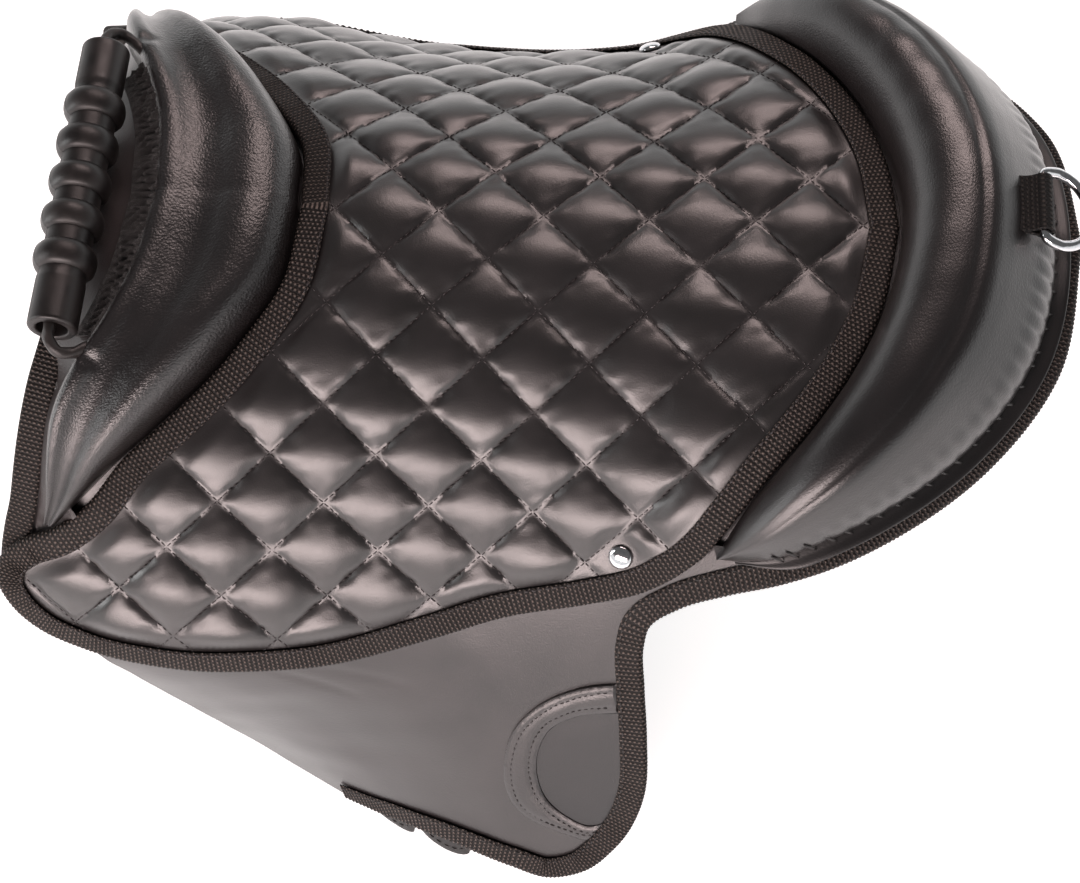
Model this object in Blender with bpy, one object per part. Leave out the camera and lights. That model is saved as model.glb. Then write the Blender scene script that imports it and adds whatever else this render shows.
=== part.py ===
"""Treeless pony saddle: quilted seat, padded pommel and cantle, grab handle and lifting flaps.

Most of the saddle is cut flat and then laid over the shape of a pony's back, as leather is.
A flat place is (x, s, n): x along the back, s the distance round the side from the spine and
n the height off the back. Everything is in metres. The front is at -X and the near side at -Y.
"""
import math

import bmesh
import bpy
import numpy as np
from mathutils import Matrix, Vector
from mathutils.geometry import delaunay_2d_cdt

# Place of the model: its middle lies over the origin and its feet stand on z = 0.
MIDDLE_X = 0.0417
FLOOR_DROP = 0.240

# How far a curved outline may leave its chords (times eight), the longest edge of a cut sheet
# and the cells (along, across) of each sheet's faces.
SAG = 0.0040
LONGEST_EDGE = 0.0160
SKIRT_CELL = (0.0260, 0.0145)
FLAP_CELL = (0.0180, 0.0145)
PATCH_CELL = (0.0240, 0.0145)
PANEL_CELL = 0.0300
BILLET_CELL = 0.0145

# The back: place along it, rise of the spine, turn of the side in radians for the first
# 100 mm, and the part of that turn which grows by the cube of the distance.
BACK_STATIONS = (
    (-0.190, 0.0084, 0.60, 0.15),
    (-0.110, -0.0017, 0.57, 0.04),
    (-0.020, 0.0000, 0.80, 0.00),
    (0.070, -0.0034, 0.65, 0.07),
    (0.160, -0.0029, 0.28, 0.06),
    (0.260, -0.0095, 0.46, 0.07),
)
TURN_LENGTH = 0.100
SIDE_SLOPE = 0.94
SHOULDER_TUCK = 0.60
SHOULDER_REAR = 0.040
SHOULDER_FRONT = -0.110
TUCK_START = 0.175
TUCK_END = 0.250
FOOT_START = 0.262
FOOT_END = 0.305

# Layers off the back, from the quilted seat down to the panels.
EDGE_GAP = 0.0010
TAPE = 0.0010
TAPE_WIDTH = 0.0120
SEAT_BOTTOM = -0.0026
SEAT_STITCH = -0.0006
SEAT_PUFF = 0.0030
SKIRT_TOP = -0.0058
SKIRT_THICKNESS = 0.0020
LAYER_GAP = 0.0005
WEB_THICKNESS = 0.0018
PANEL_TOP = SKIRT_TOP - SKIRT_THICKNESS - WEB_THICKNESS - 2 * LAYER_GAP
PANEL_LOW_TOP = -0.0144
PANEL_BOTTOM = -0.0265
PANEL_STEP_START = 0.140
PANEL_STEP_END = 0.154
SPINE_GAP = 0.042

# Quilting: half the width and half the length of a diamond; one seam crossing is on the spine.
DIAMOND_X = 0.0225
DIAMOND_S = 0.0217

# Cantle and skirt are rounded about one centre on the spine.
CANTLE_CENTRE = 0.070
CANTLE_ANGLES = (0.0, 18.0, 32.0, 46.0, 56.0, 63.0, 70.0)
CANTLE_INNER = (0.1265, 0.1258, 0.1268, 0.1300, 0.1350, 0.1420, 0.1550)
CANTLE_OUTER = (0.1900, 0.1890, 0.1815, 0.1730, 0.1680, 0.1645, 0.1560)
CANTLE_HEIGHT = (0.0340, 0.0340, 0.0325, 0.0270, 0.0190, 0.0120, 0.0030)
SKIRT_MARGIN = 0.0125
SEAT_CLEARANCE = 0.0012

# Pommel roll: half of it, from the spine to its tip.
POMMEL_SIDE = (0.000, 0.035, 0.058, 0.075, 0.095, 0.115, 0.134, 0.147)
POMMEL_REAR = (-0.061, -0.066, -0.080, -0.093, -0.112, -0.132, -0.149, -0.161)
POMMEL_FRONT = (-0.122, -0.127, -0.136, -0.146, -0.155, -0.159, -0.162, -0.166)
POMMEL_HEIGHT = (0.016, 0.019, 0.024, 0.026, 0.024, 0.018, 0.010, 0.003)

# Seat tip and outer edge, near side, between the pommel's tip and the cantle.
SEAT_TIP = (
    (-0.147, -0.1365), (-0.162, -0.1490), (-0.178, -0.1570), (-0.1885, -0.1670), (-0.1910, -0.1790),
    (-0.1865, -0.1910), (-0.1750, -0.2030), (-0.1560, -0.2110), (-0.1160, -0.2150), (-0.0840, -0.2140),
    (-0.0450, -0.2100), (-0.0010, -0.1950), (0.0340, -0.1810), (0.0690, -0.1720), (0.0930, -0.1640),
    (0.1160, -0.1480),
)
RIVET_X = 0.083
RIVET_S = 0.148
RIVET_HOLE = 0.0021
DRILL_REACH = 0.0200
RIVET_SIDES = 8

# Skirt: its side edge from the hinge to where it follows the cantle, and the hidden front.
SKIRT_SIDE = ((0.0935, -0.1930), (0.0955, -0.1840), (0.1080, -0.1730), (0.1290, -0.1640))
SKIRT_FRONT = ((-0.1160, 0.0000), (-0.1210, -0.0350), (-0.1300, -0.0580), (-0.1400, -0.0750),
               (-0.1520, -0.1100), (-0.1600, -0.1500), (-0.1660, -0.1850), (-0.1620, -0.2080))

# Flap: hinge line in the flat and the free edge, near side.
HINGE_FRONT = (-0.1500, -0.2280)
HINGE_REAR = (0.0935, -0.1940)
HINGE_GAP = 0.0006
FLAP_SHAPE = (
    (-0.1400, -0.2420), (-0.1190, -0.2720), (-0.0990, -0.3030), (-0.0810, -0.3220), (-0.0580, -0.3300),
    (-0.0400, -0.3270), (-0.0210, -0.3220), (0.0000, -0.3195), (0.0310, -0.3240), (0.0490, -0.3290),
    (0.0670, -0.3230), (0.0800, -0.3090), (0.0890, -0.2930), (0.0950, -0.2720), (0.0955, -0.2430),
    (0.0940, -0.2150),
)

# Rolls: their foot, the share (across, up) of their outlines, and the strip under the cantle.
ROLL_BASE = SKIRT_TOP + LAYER_GAP
POMMEL_SHAPE = (
    (0.0, 0.0), (0.015, 0.28), (0.07, 0.62), (0.17, 0.88), (0.30, 0.98), (0.43, 0.96), (0.57, 0.87),
    (0.68, 0.90), (0.80, 0.98), (0.90, 0.95), (0.965, 0.86), (0.99, 0.72), (1.0, 0.0),
)
CANTLE_SHAPE = (
    (0.0, 0.0), (0.0, 0.38), (0.04, 0.60), (0.12, 0.80), (0.25, 0.94), (0.38, 1.0), (0.52, 0.97),
    (0.67, 0.80), (0.82, 0.55), (0.94, 0.31),
)
STRIP_TOP = -0.0014
STRIP_BOTTOM = -0.0030
STRIP_TUCK = 0.0060
STRIP_SHOW = 0.0070
STRIP_ANGLE = 62.0
ROLL_ANGLE = 67.0

# Front band and the bend of the handle's cord: (x, side, up) beyond the grip, far side.
FRONT_BAND = (
    (-0.1850, -0.1830, -0.0060), (-0.1830, -0.1640, -0.0060), (-0.1770, -0.1430, -0.0052),
    (-0.1715, -0.1150, -0.0036), (-0.1655, -0.0850, -0.0030), (-0.1620, -0.0680, -0.0050),
    (-0.1590, -0.0400, -0.0110), (-0.1580, 0.0000, -0.0130),
)
BAND_WIDTH = 0.0120
CORD_BEND = (
    (-0.1530, 0.0765, 0.0145), (-0.1495, 0.0800, 0.0115), (-0.1450, 0.0790, 0.0085),
    (-0.1395, 0.0750, 0.0065), (-0.1320, 0.0700, 0.0055),
)

# Thigh patch on the flap, near side: outer edge, and the edge of its sunk middle.
PATCH_EDGE = (
    (0.0765, -0.2095), (0.0650, -0.2140), (0.0450, -0.2260), (0.0345, -0.2390), (0.0305, -0.2540),
    (0.0305, -0.2700), (0.0340, -0.2800), (0.0450, -0.2895), (0.0570, -0.2940), (0.0690, -0.2955),
    (0.0770, -0.2890),
)
PATCH_MIDDLE = (
    (0.0740, -0.2250), (0.0600, -0.2290), (0.0500, -0.2360), (0.0460, -0.2460), (0.0455, -0.2620),
    (0.0500, -0.2740), (0.0600, -0.2835), (0.0720, -0.2860),
)
FRAME_THICKNESS = 0.0020
PATCH_THICKNESS = 0.0010
PATCH_GAP = 0.0003

# Panels under the saddle, near side, below their inner edge: front, bottom and rear.
PANEL_FRONT = (
    (-0.1260, -0.0210), (-0.1290, -0.0450), (-0.1400, -0.0800), (-0.1520, -0.1200), (-0.1570, -0.1550),
    (-0.1540, -0.1900), (-0.1460, -0.2150), (-0.1300, -0.2500), (-0.1120, -0.2900), (-0.1010, -0.3180),
    (-0.0930, -0.3500),
)
PANEL_REAR = ((0.0780, -0.3500), (0.0780, -0.3000), (0.0790, -0.2400), (0.0840, -0.2000),
              (0.1000, -0.1720))
PANEL_MARGIN = 0.020

# Girth webs and billets: middle along the back, half width and how far the billets hang.
GIRTH_X = (-0.0305, -0.0015)
WEB_WIDTH = 0.0270
WEB_REACH = 0.1680
BILLET_START = 0.1500
BILLET_END = (0.3380, 0.3330)
BILLET_THICKNESS = 0.0024
BILLET_HOLE = 0.0050
BILLET_PITCH = 0.0250
LOOP_X = -0.0950
LOOP_START = 0.2000
LOOP_END = 0.2450
LOOP_WIDTH = 0.0250
LOOP_SLOT = 0.0014

# Grab handle: ribbed grip on a cord whose ends run into the pommel.
GRIP_X = -0.1535
GRIP_Z = 0.0125
GRIP_LENGTH = 0.1410
GRIP_RADIUS = 0.0105
RIB_RADIUS = 0.0134
NECK_RADIUS = 0.0100
BORE_RADIUS = 0.0065
RIB_PITCH = 0.0190
CORD_RADIUS = 0.0025
CORD_HOLE = 0.0030
CORD_GAP = 0.0003

# Crupper ring: place of its bar, wire, size outside and how far it lies down at rest.
RING_X = 0.2515
RING_Z = 0.0150
RING_WIRE = 0.00225
RING_WIDTH = 0.0390
RING_DEPTH = 0.0270
RING_LEAN = 0.42
KEEPER_WIDTH = 0.0260
KEEPER_THICKNESS = 0.0014
KEEPER_TAIL = 0.0180

BLACK_LEATHER = ((0.020, 0.018, 0.018), 0.42, 0.0)
PADDED_LEATHER = ((0.026, 0.023, 0.023), 0.38, 0.0)
WEBBING = ((0.014, 0.013, 0.012), 0.75, 0.0)
RUBBER = ((0.022, 0.019, 0.019), 0.50, 0.0)
CHROME = ((0.80, 0.80, 0.82), 0.12, 1.0)
FOAM = ((0.05, 0.05, 0.05), 0.90, 0.0)
FELT = ((0.012, 0.012, 0.012), 0.95, 0.0)


def smooth(value):
    """Rise from 0 to 1 with level ends."""
    value = np.clip(value, 0.0, 1.0)
    return value * value * (3.0 - 2.0 * value)


def through(places, values, at):
    """Read a smooth curve through (places, values), straight beyond its ends."""
    places = np.asarray(places, float)
    values = np.asarray(values, float)
    at = np.asarray(at, float)
    step = np.diff(places)
    rate = np.diff(values) / step
    slope = np.empty(len(places))
    slope[0] = rate[0]
    slope[-1] = rate[-1]
    slope[1:-1] = (rate[:-1] * step[1:] + rate[1:] * step[:-1]) / (step[1:] + step[:-1])
    index = np.clip(np.searchsorted(places, at) - 1, 0, len(places) - 2)
    part = (at - places[index]) / step[index]
    t = np.clip(part, 0.0, 1.0)
    curve = (1 + 2 * t) * (1 - t) ** 2 * values[index] + t * (1 - t) ** 2 * step[index] * slope[index]
    curve += t * t * (3 - 2 * t) * values[index + 1] + t * t * (t - 1) * step[index] * slope[index + 1]
    over = np.where(part > 1, (at - places[index + 1]) * slope[index + 1], 0.0)
    under = np.where(part < 0, (at - places[index]) * slope[index], 0.0)
    return curve + over + under


def side_slope(x, s, foot):
    """Angle of the side below level at (x, s), with the sign of s."""
    stations = np.array(BACK_STATIONS).T
    crown = through(stations[0], stations[2], x)
    side = through(stations[0], stations[3], x)
    reach = s / TURN_LENGTH
    turn = crown * reach + side * reach ** 3
    angle = SIDE_SLOPE * np.tanh(turn / SIDE_SLOPE)
    forward = smooth((SHOULDER_REAR - x) / (SHOULDER_REAR - SHOULDER_FRONT))
    lower = smooth((np.abs(s) - TUCK_START) / (TUCK_END - TUCK_START))
    angle = angle + np.sign(s) * SHOULDER_TUCK * forward * lower
    if foot:
        upright = smooth((np.abs(s) - FOOT_START) / (FOOT_END - FOOT_START))
        angle = angle + (np.sign(s) * math.pi / 2 - angle) * upright
    return angle


def lay(flat, foot=False):
    """Lay flat places (x, s, n) over the back and give them in the world."""
    flat = np.asarray(flat, float).reshape(-1, 3)
    x, s, n = flat.T
    nodes, weights = np.polynomial.legendre.leggauss(28)
    along = s[:, None] * (nodes + 1.0) / 2.0
    angle = side_slope(np.repeat(x[:, None], len(nodes), 1), along, foot)
    across = s * (np.cos(angle) * weights).sum(1) / 2.0
    drop = s * (np.sin(angle) * weights).sum(1) / 2.0
    stations = np.array(BACK_STATIONS).T
    rise = through(stations[0], stations[1], x)
    lean = side_slope(x, s, foot)
    place = np.stack([x - MIDDLE_X, across + n * np.sin(lean), rise - drop + n * np.cos(lean)], 1)
    place[:, 2] += FLOOR_DROP
    return place


def curve(points, spacing):
    """Smooth curve through the points: the given spacing where it is straight, less in bends."""
    points = np.asarray(points, float)
    reach = np.concatenate([[0.0], np.cumsum(np.linalg.norm(np.diff(points, axis=0), axis=1))])
    fine = np.linspace(0.0, reach[-1], 400)
    line = np.stack([through(reach, points[:, k], fine) for k in range(points.shape[1])], 1)
    run = np.diff(line, axis=0)
    length = np.linalg.norm(run, axis=1)
    run = run / length[:, None]
    bend = np.linalg.norm(np.diff(run, axis=0), axis=1) / length[1:]
    bend = np.convolve(np.pad(bend, 8, "edge"), np.full(17, 1.0 / 17), "same")[8:-8]
    bend = np.append(bend, bend[-1])
    share = np.concatenate([[0.0], np.cumsum(length * np.maximum(1.0 / spacing, np.sqrt(bend / SAG)))])
    count = max(2, int(math.ceil(share[-1])) + 1)
    at = np.interp(np.linspace(0.0, share[-1], count), share, fine)
    return np.stack([through(reach, points[:, k], at) for k in range(points.shape[1])], 1)


def both_sides(near_half):
    """Mirror a half outline, from spine to spine on the near side, into a closed loop."""
    near_half = np.asarray(near_half, float)
    far_half = near_half[1:-1][::-1] * (1.0, -1.0)
    return np.concatenate([near_half, far_half])


def normals(path, closed):
    """Unit sideways directions of a flat path, left of its run, widened at bends."""
    path = path[:, :2]
    if closed:
        before = path - np.roll(path, 1, 0)
        after = np.roll(path, -1, 0) - path
    else:
        before = np.diff(path, axis=0, prepend=path[:1] - (path[1:2] - path[:1]))
        after = np.diff(path, axis=0, append=path[-1:] + (path[-1:] - path[-2:-1]))
    before = before / np.linalg.norm(before, axis=1)[:, None]
    after = after / np.linalg.norm(after, axis=1)[:, None]
    mean = before + after
    mean = mean / np.linalg.norm(mean, axis=1)[:, None]
    widen = 1.0 / np.maximum((mean * before).sum(1), 0.6)
    return np.stack([-mean[:, 1], mean[:, 0]], 1) * widen[:, None]


def inset(path, distance, closed=True):
    """Move a flat path sideways, to the left of its run."""
    moved = path.copy()
    moved[:, :2] += normals(path, closed) * distance
    return moved


def material(name, finish):
    """Principled material of one piece."""
    colour, roughness, metallic = finish
    made = bpy.data.materials.new(name)
    made.use_nodes = True
    shader = made.node_tree.nodes["Principled BSDF"]
    shader.inputs["Base Color"].default_value = (*colour, 1.0)
    shader.inputs["Roughness"].default_value = roughness
    shader.inputs["Metallic"].default_value = metallic
    return made


def piece(name, points, faces, finish, edge=40.0):
    """Object from world points and faces, turned outwards and shaded smooth."""
    mesh = bpy.data.meshes.new(name)
    mesh.from_pydata([tuple(p) for p in points], [], [tuple(f) for f in faces])
    form = bmesh.new()
    form.from_mesh(mesh)
    bmesh.ops.recalc_face_normals(form, faces=form.faces)
    form.to_mesh(mesh)
    form.free()
    mesh.shade_smooth()
    mesh.set_sharp_from_angle(angle=math.radians(edge))
    mesh.materials.append(material(name, finish))
    made = bpy.data.objects.new(name, mesh)
    bpy.context.collection.objects.link(made)
    return made


def prism(loop, low, high):
    """Points and faces of a closed flat loop drawn up from low to high."""
    loop = np.asarray(loop)[:, :2]
    count = len(loop)
    points = np.concatenate([np.column_stack([loop, np.full(count, low)]),
                             np.column_stack([loop, np.full(count, high)])])
    faces = [tuple(range(count))[::-1], tuple(range(count, 2 * count))]
    faces += [(i, (i + 1) % count, count + (i + 1) % count, count + i) for i in range(count)]
    return points, faces


def as_cutter(made):
    """Hide an object from the model, for use in a Boolean."""
    made.hide_render = True
    made.display_type = "WIRE"
    return made


def combine(target, tools, operation):
    """Apply Booleans to an object and remove the tools."""
    for tool in tools:
        change = target.modifiers.new("cut", "BOOLEAN")
        change.operation = operation
        change.object = tool
    bpy.context.view_layer.update()
    ready = target.evaluated_get(bpy.context.evaluated_depsgraph_get())
    mesh = bpy.data.meshes.new_from_object(ready)
    target.modifiers.clear()
    target.data = mesh
    for tool in tools:
        bpy.data.objects.remove(tool)
    return target


def inside(loop, x, s):
    """Whether flat places lie inside a closed flat loop."""
    start = loop[:, :2]
    end = np.roll(start, -1, 0)
    above = (start[:, 1] > s[..., None]) != (end[:, 1] > s[..., None])
    rise = np.where(start[:, 1] == end[:, 1], 1.0, end[:, 1] - start[:, 1])
    crossing = start[:, 0] + (s[..., None] - start[:, 1]) * (end[:, 0] - start[:, 0]) / rise
    return (above & (x[..., None] < crossing)).sum(-1) % 2 == 1


def filled(loop, spacing):
    """Closed flat loop with points added to its long edges."""
    points = []
    for start, end in zip(loop, np.roll(loop, -1, 0)):
        count = max(1, int(math.ceil(np.linalg.norm(end - start) / spacing)))
        points += [start + (end - start) * k / count for k in range(count)]
    return np.array(points)


def within(faces, borders):
    """Triangles between the loops: borders says of each directed edge whether its left is in."""
    owner = {}
    for k, face in enumerate(faces):
        for edge in zip(face, (*face[1:], face[0])):
            owner[edge] = k
    state = {}
    for (a, b), is_in in borders.items():
        for edge, value in (((a, b), is_in), ((b, a), not is_in)):
            if edge in owner:
                state[owner[edge]] = value
    waiting = list(state)
    while waiting:
        face = faces[waiting[-1]]
        value = state[waiting.pop()]
        for a, b in zip(face, (*face[1:], face[0])):
            beyond = owner.get((b, a))
            if (a, b) in borders or (b, a) in borders or beyond is None or beyond in state:
                continue
            state[beyond] = value
            waiting.append(beyond)
    return [face for k, face in enumerate(faces) if state.get(k)]


def mesh_face(loops, lines, clearance, cross):
    """Triangles of a flat face: the loops' points first, then grid points clear of its edges."""
    points = np.concatenate([loop[:, :2] for loop in loops])
    borders = {}
    for k, loop in enumerate(loops):
        first = len(borders)
        run = np.roll(loop, -1, 0)
        forward = ((loop[:, 0] * run[:, 1] - loop[:, 1] * run[:, 0]).sum() > 0) == (k == 0)
        for a in range(len(loop)):
            borders[(first + a, first + (a + 1) % len(loop))] = forward
    seams = list(borders)
    x, s = np.meshgrid(*lines, indexing="ij")
    use = inside(loops[0], x, s)
    for k, loop in enumerate(loops):
        use &= distance_to(loop, x, s) > clearance
        if k:
            use &= ~inside(loop, x, s)
    index = np.full(x.shape, -1)
    index[use] = len(points) + np.arange(use.sum())
    points = np.concatenate([points, np.stack([x[use], s[use]], 1)])
    for a in range(x.shape[0] - 1 if cross else 0):
        for b in range(x.shape[1] - 1):
            if cross(a, b):
                ends = int(index[a, b]), int(index[a + 1, b + 1])
            else:
                ends = int(index[a + 1, b]), int(index[a, b + 1])
            if min(ends) >= 0:
                middle = points[list(ends)].mean(0)
                if distance_to(loops[0], middle[0], middle[1]) > clearance / 2:
                    seams.append(ends)
    made = delaunay_2d_cdt([Vector(point) for point in points], seams, [], 0, 1e-7)
    source = [found[0] for found in made[3]]
    faces = [tuple(source[k] for k in face) for face in made[2]]
    return points, np.array(within(faces, borders))


def cut_sheet(name, outline, lines, low, high, finish, holes=(), foot=False, low_lines=None,
              cross=None):
    """Sheet cut flat to its outline, given its two faces and laid over the back.

    low and high give the height of each face at flat places. Holes are closed flat loops.
    """
    loops = [filled(loop, LONGEST_EDGE) for loop in (outline, *holes)]
    clearance = 0.6 * min(np.diff(lines[0]).min(), np.diff(lines[1]).min())
    upper, upper_faces = mesh_face(loops, lines, clearance, cross)
    under, under_faces = mesh_face(loops, low_lines or lines, clearance, None)
    faces = [*upper_faces, *(under_faces[:, ::-1] + len(upper))]
    first = 0
    for loop in loops:
        for k in range(len(loop)):
            a, b = first + k, first + (k + 1) % len(loop)
            faces.append((a, b, len(upper) + b, len(upper) + a))
        first += len(loop)
    flat = np.concatenate([np.column_stack([upper, high(upper[:, 0], upper[:, 1])]),
                           np.column_stack([under, low(under[:, 0], under[:, 1])])])
    made = piece(name, lay(flat, foot), faces, finish)
    form = bmesh.new()
    form.from_mesh(made.data)
    bmesh.ops.triangulate(form, faces=form.faces)
    form.to_mesh(made.data)
    form.free()
    return made


def lines_over(outline, cell_x, cell_s):
    """Grid lines at whole numbers of cells, past every side of an outline."""
    lines = []
    for k, cell in enumerate((cell_x, cell_s)):
        first = math.floor((outline[:, k].min() - 0.001) / cell)
        last = math.ceil((outline[:, k].max() + 0.001) / cell)
        lines.append(np.arange(first, last + 1) * cell)
    return lines


def distance_to(loop, x, s):
    """Distance of flat places from a closed flat loop."""
    start = loop[:, :2]
    run = np.roll(start, -1, 0) - start
    place = np.stack([x, s], -1)[..., None, :]
    along = ((place - start) * run).sum(-1) / (run * run).sum(-1)
    nearest = start + np.clip(along, 0.0, 1.0)[..., None] * run
    return np.linalg.norm(place - nearest, axis=-1).min(-1)


def level(height):
    """Face of a sheet at one height."""
    return lambda x, s: np.full(np.shape(x), height)


def box(low, high):
    """Box cutter between two corners in the world."""
    points, faces = prism(((low[0], low[1]), (high[0], low[1]), (high[0], high[1]), (low[0], high[1])),
                          low[2], high[2])
    return as_cutter(piece("cutter", points, faces, FOAM))


def sweep(name, path, section, finish, closed=False, foot=False, edge=40.0):
    """Carry a closed section (sideways, up) along a flat path (x, s, n) and lay it."""
    side = normals(path, closed)
    count, size = len(path), len(section)
    flat = np.empty((count, size, 3))
    for k, (across, up) in enumerate(section):
        flat[:, k, :2] = path[:, :2] + side * across
        flat[:, k, 2] = path[:, 2] + up
    return tube_piece(name, lay(flat, foot).reshape(count, size, 3), finish, closed, edge)


def tube_piece(name, rings, finish, closed=False, edge=40.0):
    """Skin a row of rings of points, with flat ends unless the row is closed."""
    count, size = rings.shape[:2]
    faces = []
    for a in range(count if closed else count - 1):
        b = (a + 1) % count
        for k in range(size):
            m = (k + 1) % size
            faces.append((a * size + k, b * size + k, b * size + m, a * size + m))
    if not closed:
        faces.append(tuple(range(size)))
        faces.append(tuple(range((count - 1) * size, count * size))[::-1])
    made = piece(name, rings.reshape(-1, 3), faces, finish, edge)
    form = bmesh.new()
    form.from_mesh(made.data)
    bmesh.ops.triangulate(form, faces=form.faces)
    form.to_mesh(made.data)
    form.free()
    return made


def edging_section(low, high):
    """Folded tape round an edge whose two faces lie at low and high."""
    bottom = low - EDGE_GAP - TAPE
    top = high + EDGE_GAP + TAPE
    return ((0.0, bottom), (0.0, top), (TAPE_WIDTH, top), (TAPE_WIDTH, top - TAPE),
            (TAPE, top - TAPE), (TAPE, bottom + TAPE), (TAPE_WIDTH, bottom + TAPE), (TAPE_WIDTH, bottom))


def circle(centre, radius, count):
    """Closed flat loop round a centre."""
    turn = np.arange(count) * 2 * math.pi / count
    return np.stack([centre[0] + radius * np.cos(turn), centre[1] + radius * np.sin(turn)], 1)


def seat_surface(edge):
    """Upper face of the quilted seat: one crown to a diamond, level near edge and rivets."""
    def height(x, s):
        a = (x / DIAMOND_X + s / DIAMOND_S) / 2.0
        b = (x / DIAMOND_X - s / DIAMOND_S) / 2.0
        crown = np.abs(np.sin(math.pi * a) * np.sin(math.pi * b)) ** 0.6
        fade = smooth((distance_to(edge, x, s) - TAPE_WIDTH - 0.003) / 0.009)
        rivet = np.hypot(x - RIVET_X, np.abs(s) - RIVET_S)
        fade = fade * smooth((rivet - 0.013) / 0.007)
        return SEAT_STITCH + SEAT_PUFF * crown * fade
    return height


def seat_cross(first_x, first_s):
    """Which way each half cell of the seat is split, so that seams run along the edges."""
    def rises(a, b):
        i = a + first_x
        j = b + first_s
        if (i - j) % 2 == 0:
            return (i - j) % 4 == 0
        return (i + j + 1) % 4 != 0
    return rises


def round_centre(angle, radius):
    """Flat place at an angle and radius about the cantle's centre, on the near side."""
    turn = np.radians(angle)
    return np.stack([CANTLE_CENTRE + radius * np.cos(turn), -radius * np.sin(turn)], -1)


def seat_edge():
    """Visible edge of the seat, near half: round the pommel, down the tip and to the cantle."""
    side = np.array(POMMEL_SIDE[:6])
    front = np.stack([np.array(POMMEL_REAR[:6]) + SEAT_CLEARANCE, -side], 1)
    rear = round_centre(np.array(CANTLE_ANGLES[5::-1]), np.array(CANTLE_INNER[5::-1]) - SEAT_CLEARANCE)
    half = np.concatenate([front, SEAT_TIP, rear])
    return both_sides(curve(half, 0.020))


def skirt_rear():
    """Visible rear edge of the skirt, from the near hinge corner to the spine."""
    radius = np.array(CANTLE_OUTER[5::-1]) + SKIRT_MARGIN
    rear = round_centre(np.array(CANTLE_ANGLES[5::-1]), radius)
    return curve(np.concatenate([SKIRT_SIDE, rear]), 0.020)


def mirrored(path):
    """Same path on the far side, run so that its left is still inwards."""
    return path[::-1] * np.array((1.0, -1.0, 1.0))[:path.shape[1]]


def hinge_edge(offset, count=9):
    """Near hinge line in the flat, moved sideways, from its front end to its rear end."""
    start, end = np.array(HINGE_FRONT), np.array(HINGE_REAR)
    run = (end - start) / np.linalg.norm(end - start)
    at = np.linspace(0.0, 1.0, count)[:, None]
    return start + (end - start) * at + np.array((-run[1], run[0])) * offset


def flap_edge():
    """Free edge of the near flap from the front end of its hinge to the rear end."""
    points = np.concatenate([hinge_edge(0.0, 2)[:1], FLAP_SHAPE, hinge_edge(0.0, 2)[1:]])
    return curve(points, 0.020)


def frame_at(x, s):
    """World frame at a flat place: X along the back, Z square to the laid surface."""
    step = 0.0005
    place = lay(((x, s, 0.0), (x - step, s, 0.0), (x + step, s, 0.0), (x, s - step, 0.0),
                 (x, s + step, 0.0)))
    ahead = Vector(place[2] - place[1]).normalized()
    up = ahead.cross(Vector(place[4] - place[3])).normalized()
    aside = up.cross(ahead)
    return Matrix.Translation(Vector(place[0])) @ Matrix((ahead, aside, up)).transposed().to_4x4()


def drill(target, radius):
    """Cut the two rivet holes square through a laid sheet."""
    for side in (-1, 1):
        place = frame_at(RIVET_X, side * RIVET_S)
        tool = turned("cutter", ((radius, -DRILL_REACH), (radius, DRILL_REACH / 2)), place, FOAM, RIVET_SIDES)
        combine(target, [as_cutter(tool)], "DIFFERENCE")
    form = bmesh.new()
    form.from_mesh(target.data)
    bmesh.ops.triangulate(form, faces=form.faces)
    form.to_mesh(target.data)
    form.free()


def turned(name, profile, place, finish, count, ring=False, edge=40.0):
    """Turn a profile of (radius, height) about the Z axis of a frame; ring joins its ends."""
    angle = np.arange(count) * 2 * math.pi / count
    profile = np.asarray(profile, float)
    rings = np.empty((len(profile), count, 3))
    rings[:, :, 0] = profile[:, :1] * np.cos(angle)
    rings[:, :, 1] = profile[:, :1] * np.sin(angle)
    rings[:, :, 2] = profile[:, 1:]
    spin = np.array(place.to_3x3())
    rings = rings @ spin.T + np.array(place.translation)
    return tube_piece(name, rings, finish, ring, edge)


def tube(name, path, radius, count, finish, closed=False, edge=50.0):
    """Round tube along a path in the world, with rings square to it."""
    path = np.asarray(path, float)
    if closed:
        run = np.roll(path, -1, 0) - np.roll(path, 1, 0)
    else:
        run = np.gradient(path, axis=0)
    run = run / np.linalg.norm(run, axis=1)[:, None]
    side = np.cross(run[0], (0.3, 0.2, 1.0))
    rings = []
    angle = np.arange(count) * 2 * math.pi / count
    for point, ahead in zip(path, run):
        side = side - ahead * (side @ ahead)
        side = side / np.linalg.norm(side)
        up = np.cross(ahead, side)
        rings.append(point + radius * (np.cos(angle)[:, None] * side + np.sin(angle)[:, None] * up))
    return tube_piece(name, np.array(rings), finish, closed, edge)


def build_seat():
    """Quilted seat leaf and the folded tape round its whole edge."""
    edge = seat_edge()
    cut = inset(edge, EDGE_GAP + TAPE)
    lines = lines_over(cut, DIAMOND_X / 2, DIAMOND_S / 2)
    first = [int(round(line[0] / cell)) for line, cell in zip(lines, (DIAMOND_X / 2, DIAMOND_S / 2))]
    low_lines = [np.append(line[:-1:step], line[-1]) for line, step in zip(lines, (4, 2))]
    leaf = cut_sheet("seat_leaf", cut, lines, level(SEAT_BOTTOM), seat_surface(edge), PADDED_LEATHER,
                     low_lines=low_lines, cross=seat_cross(*first))
    drill(leaf, RIVET_HOLE)
    path = np.column_stack([edge, np.zeros(len(edge))])
    sweep("seat_binding", path, edging_section(SEAT_BOTTOM, SEAT_STITCH), WEBBING, True)


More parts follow.
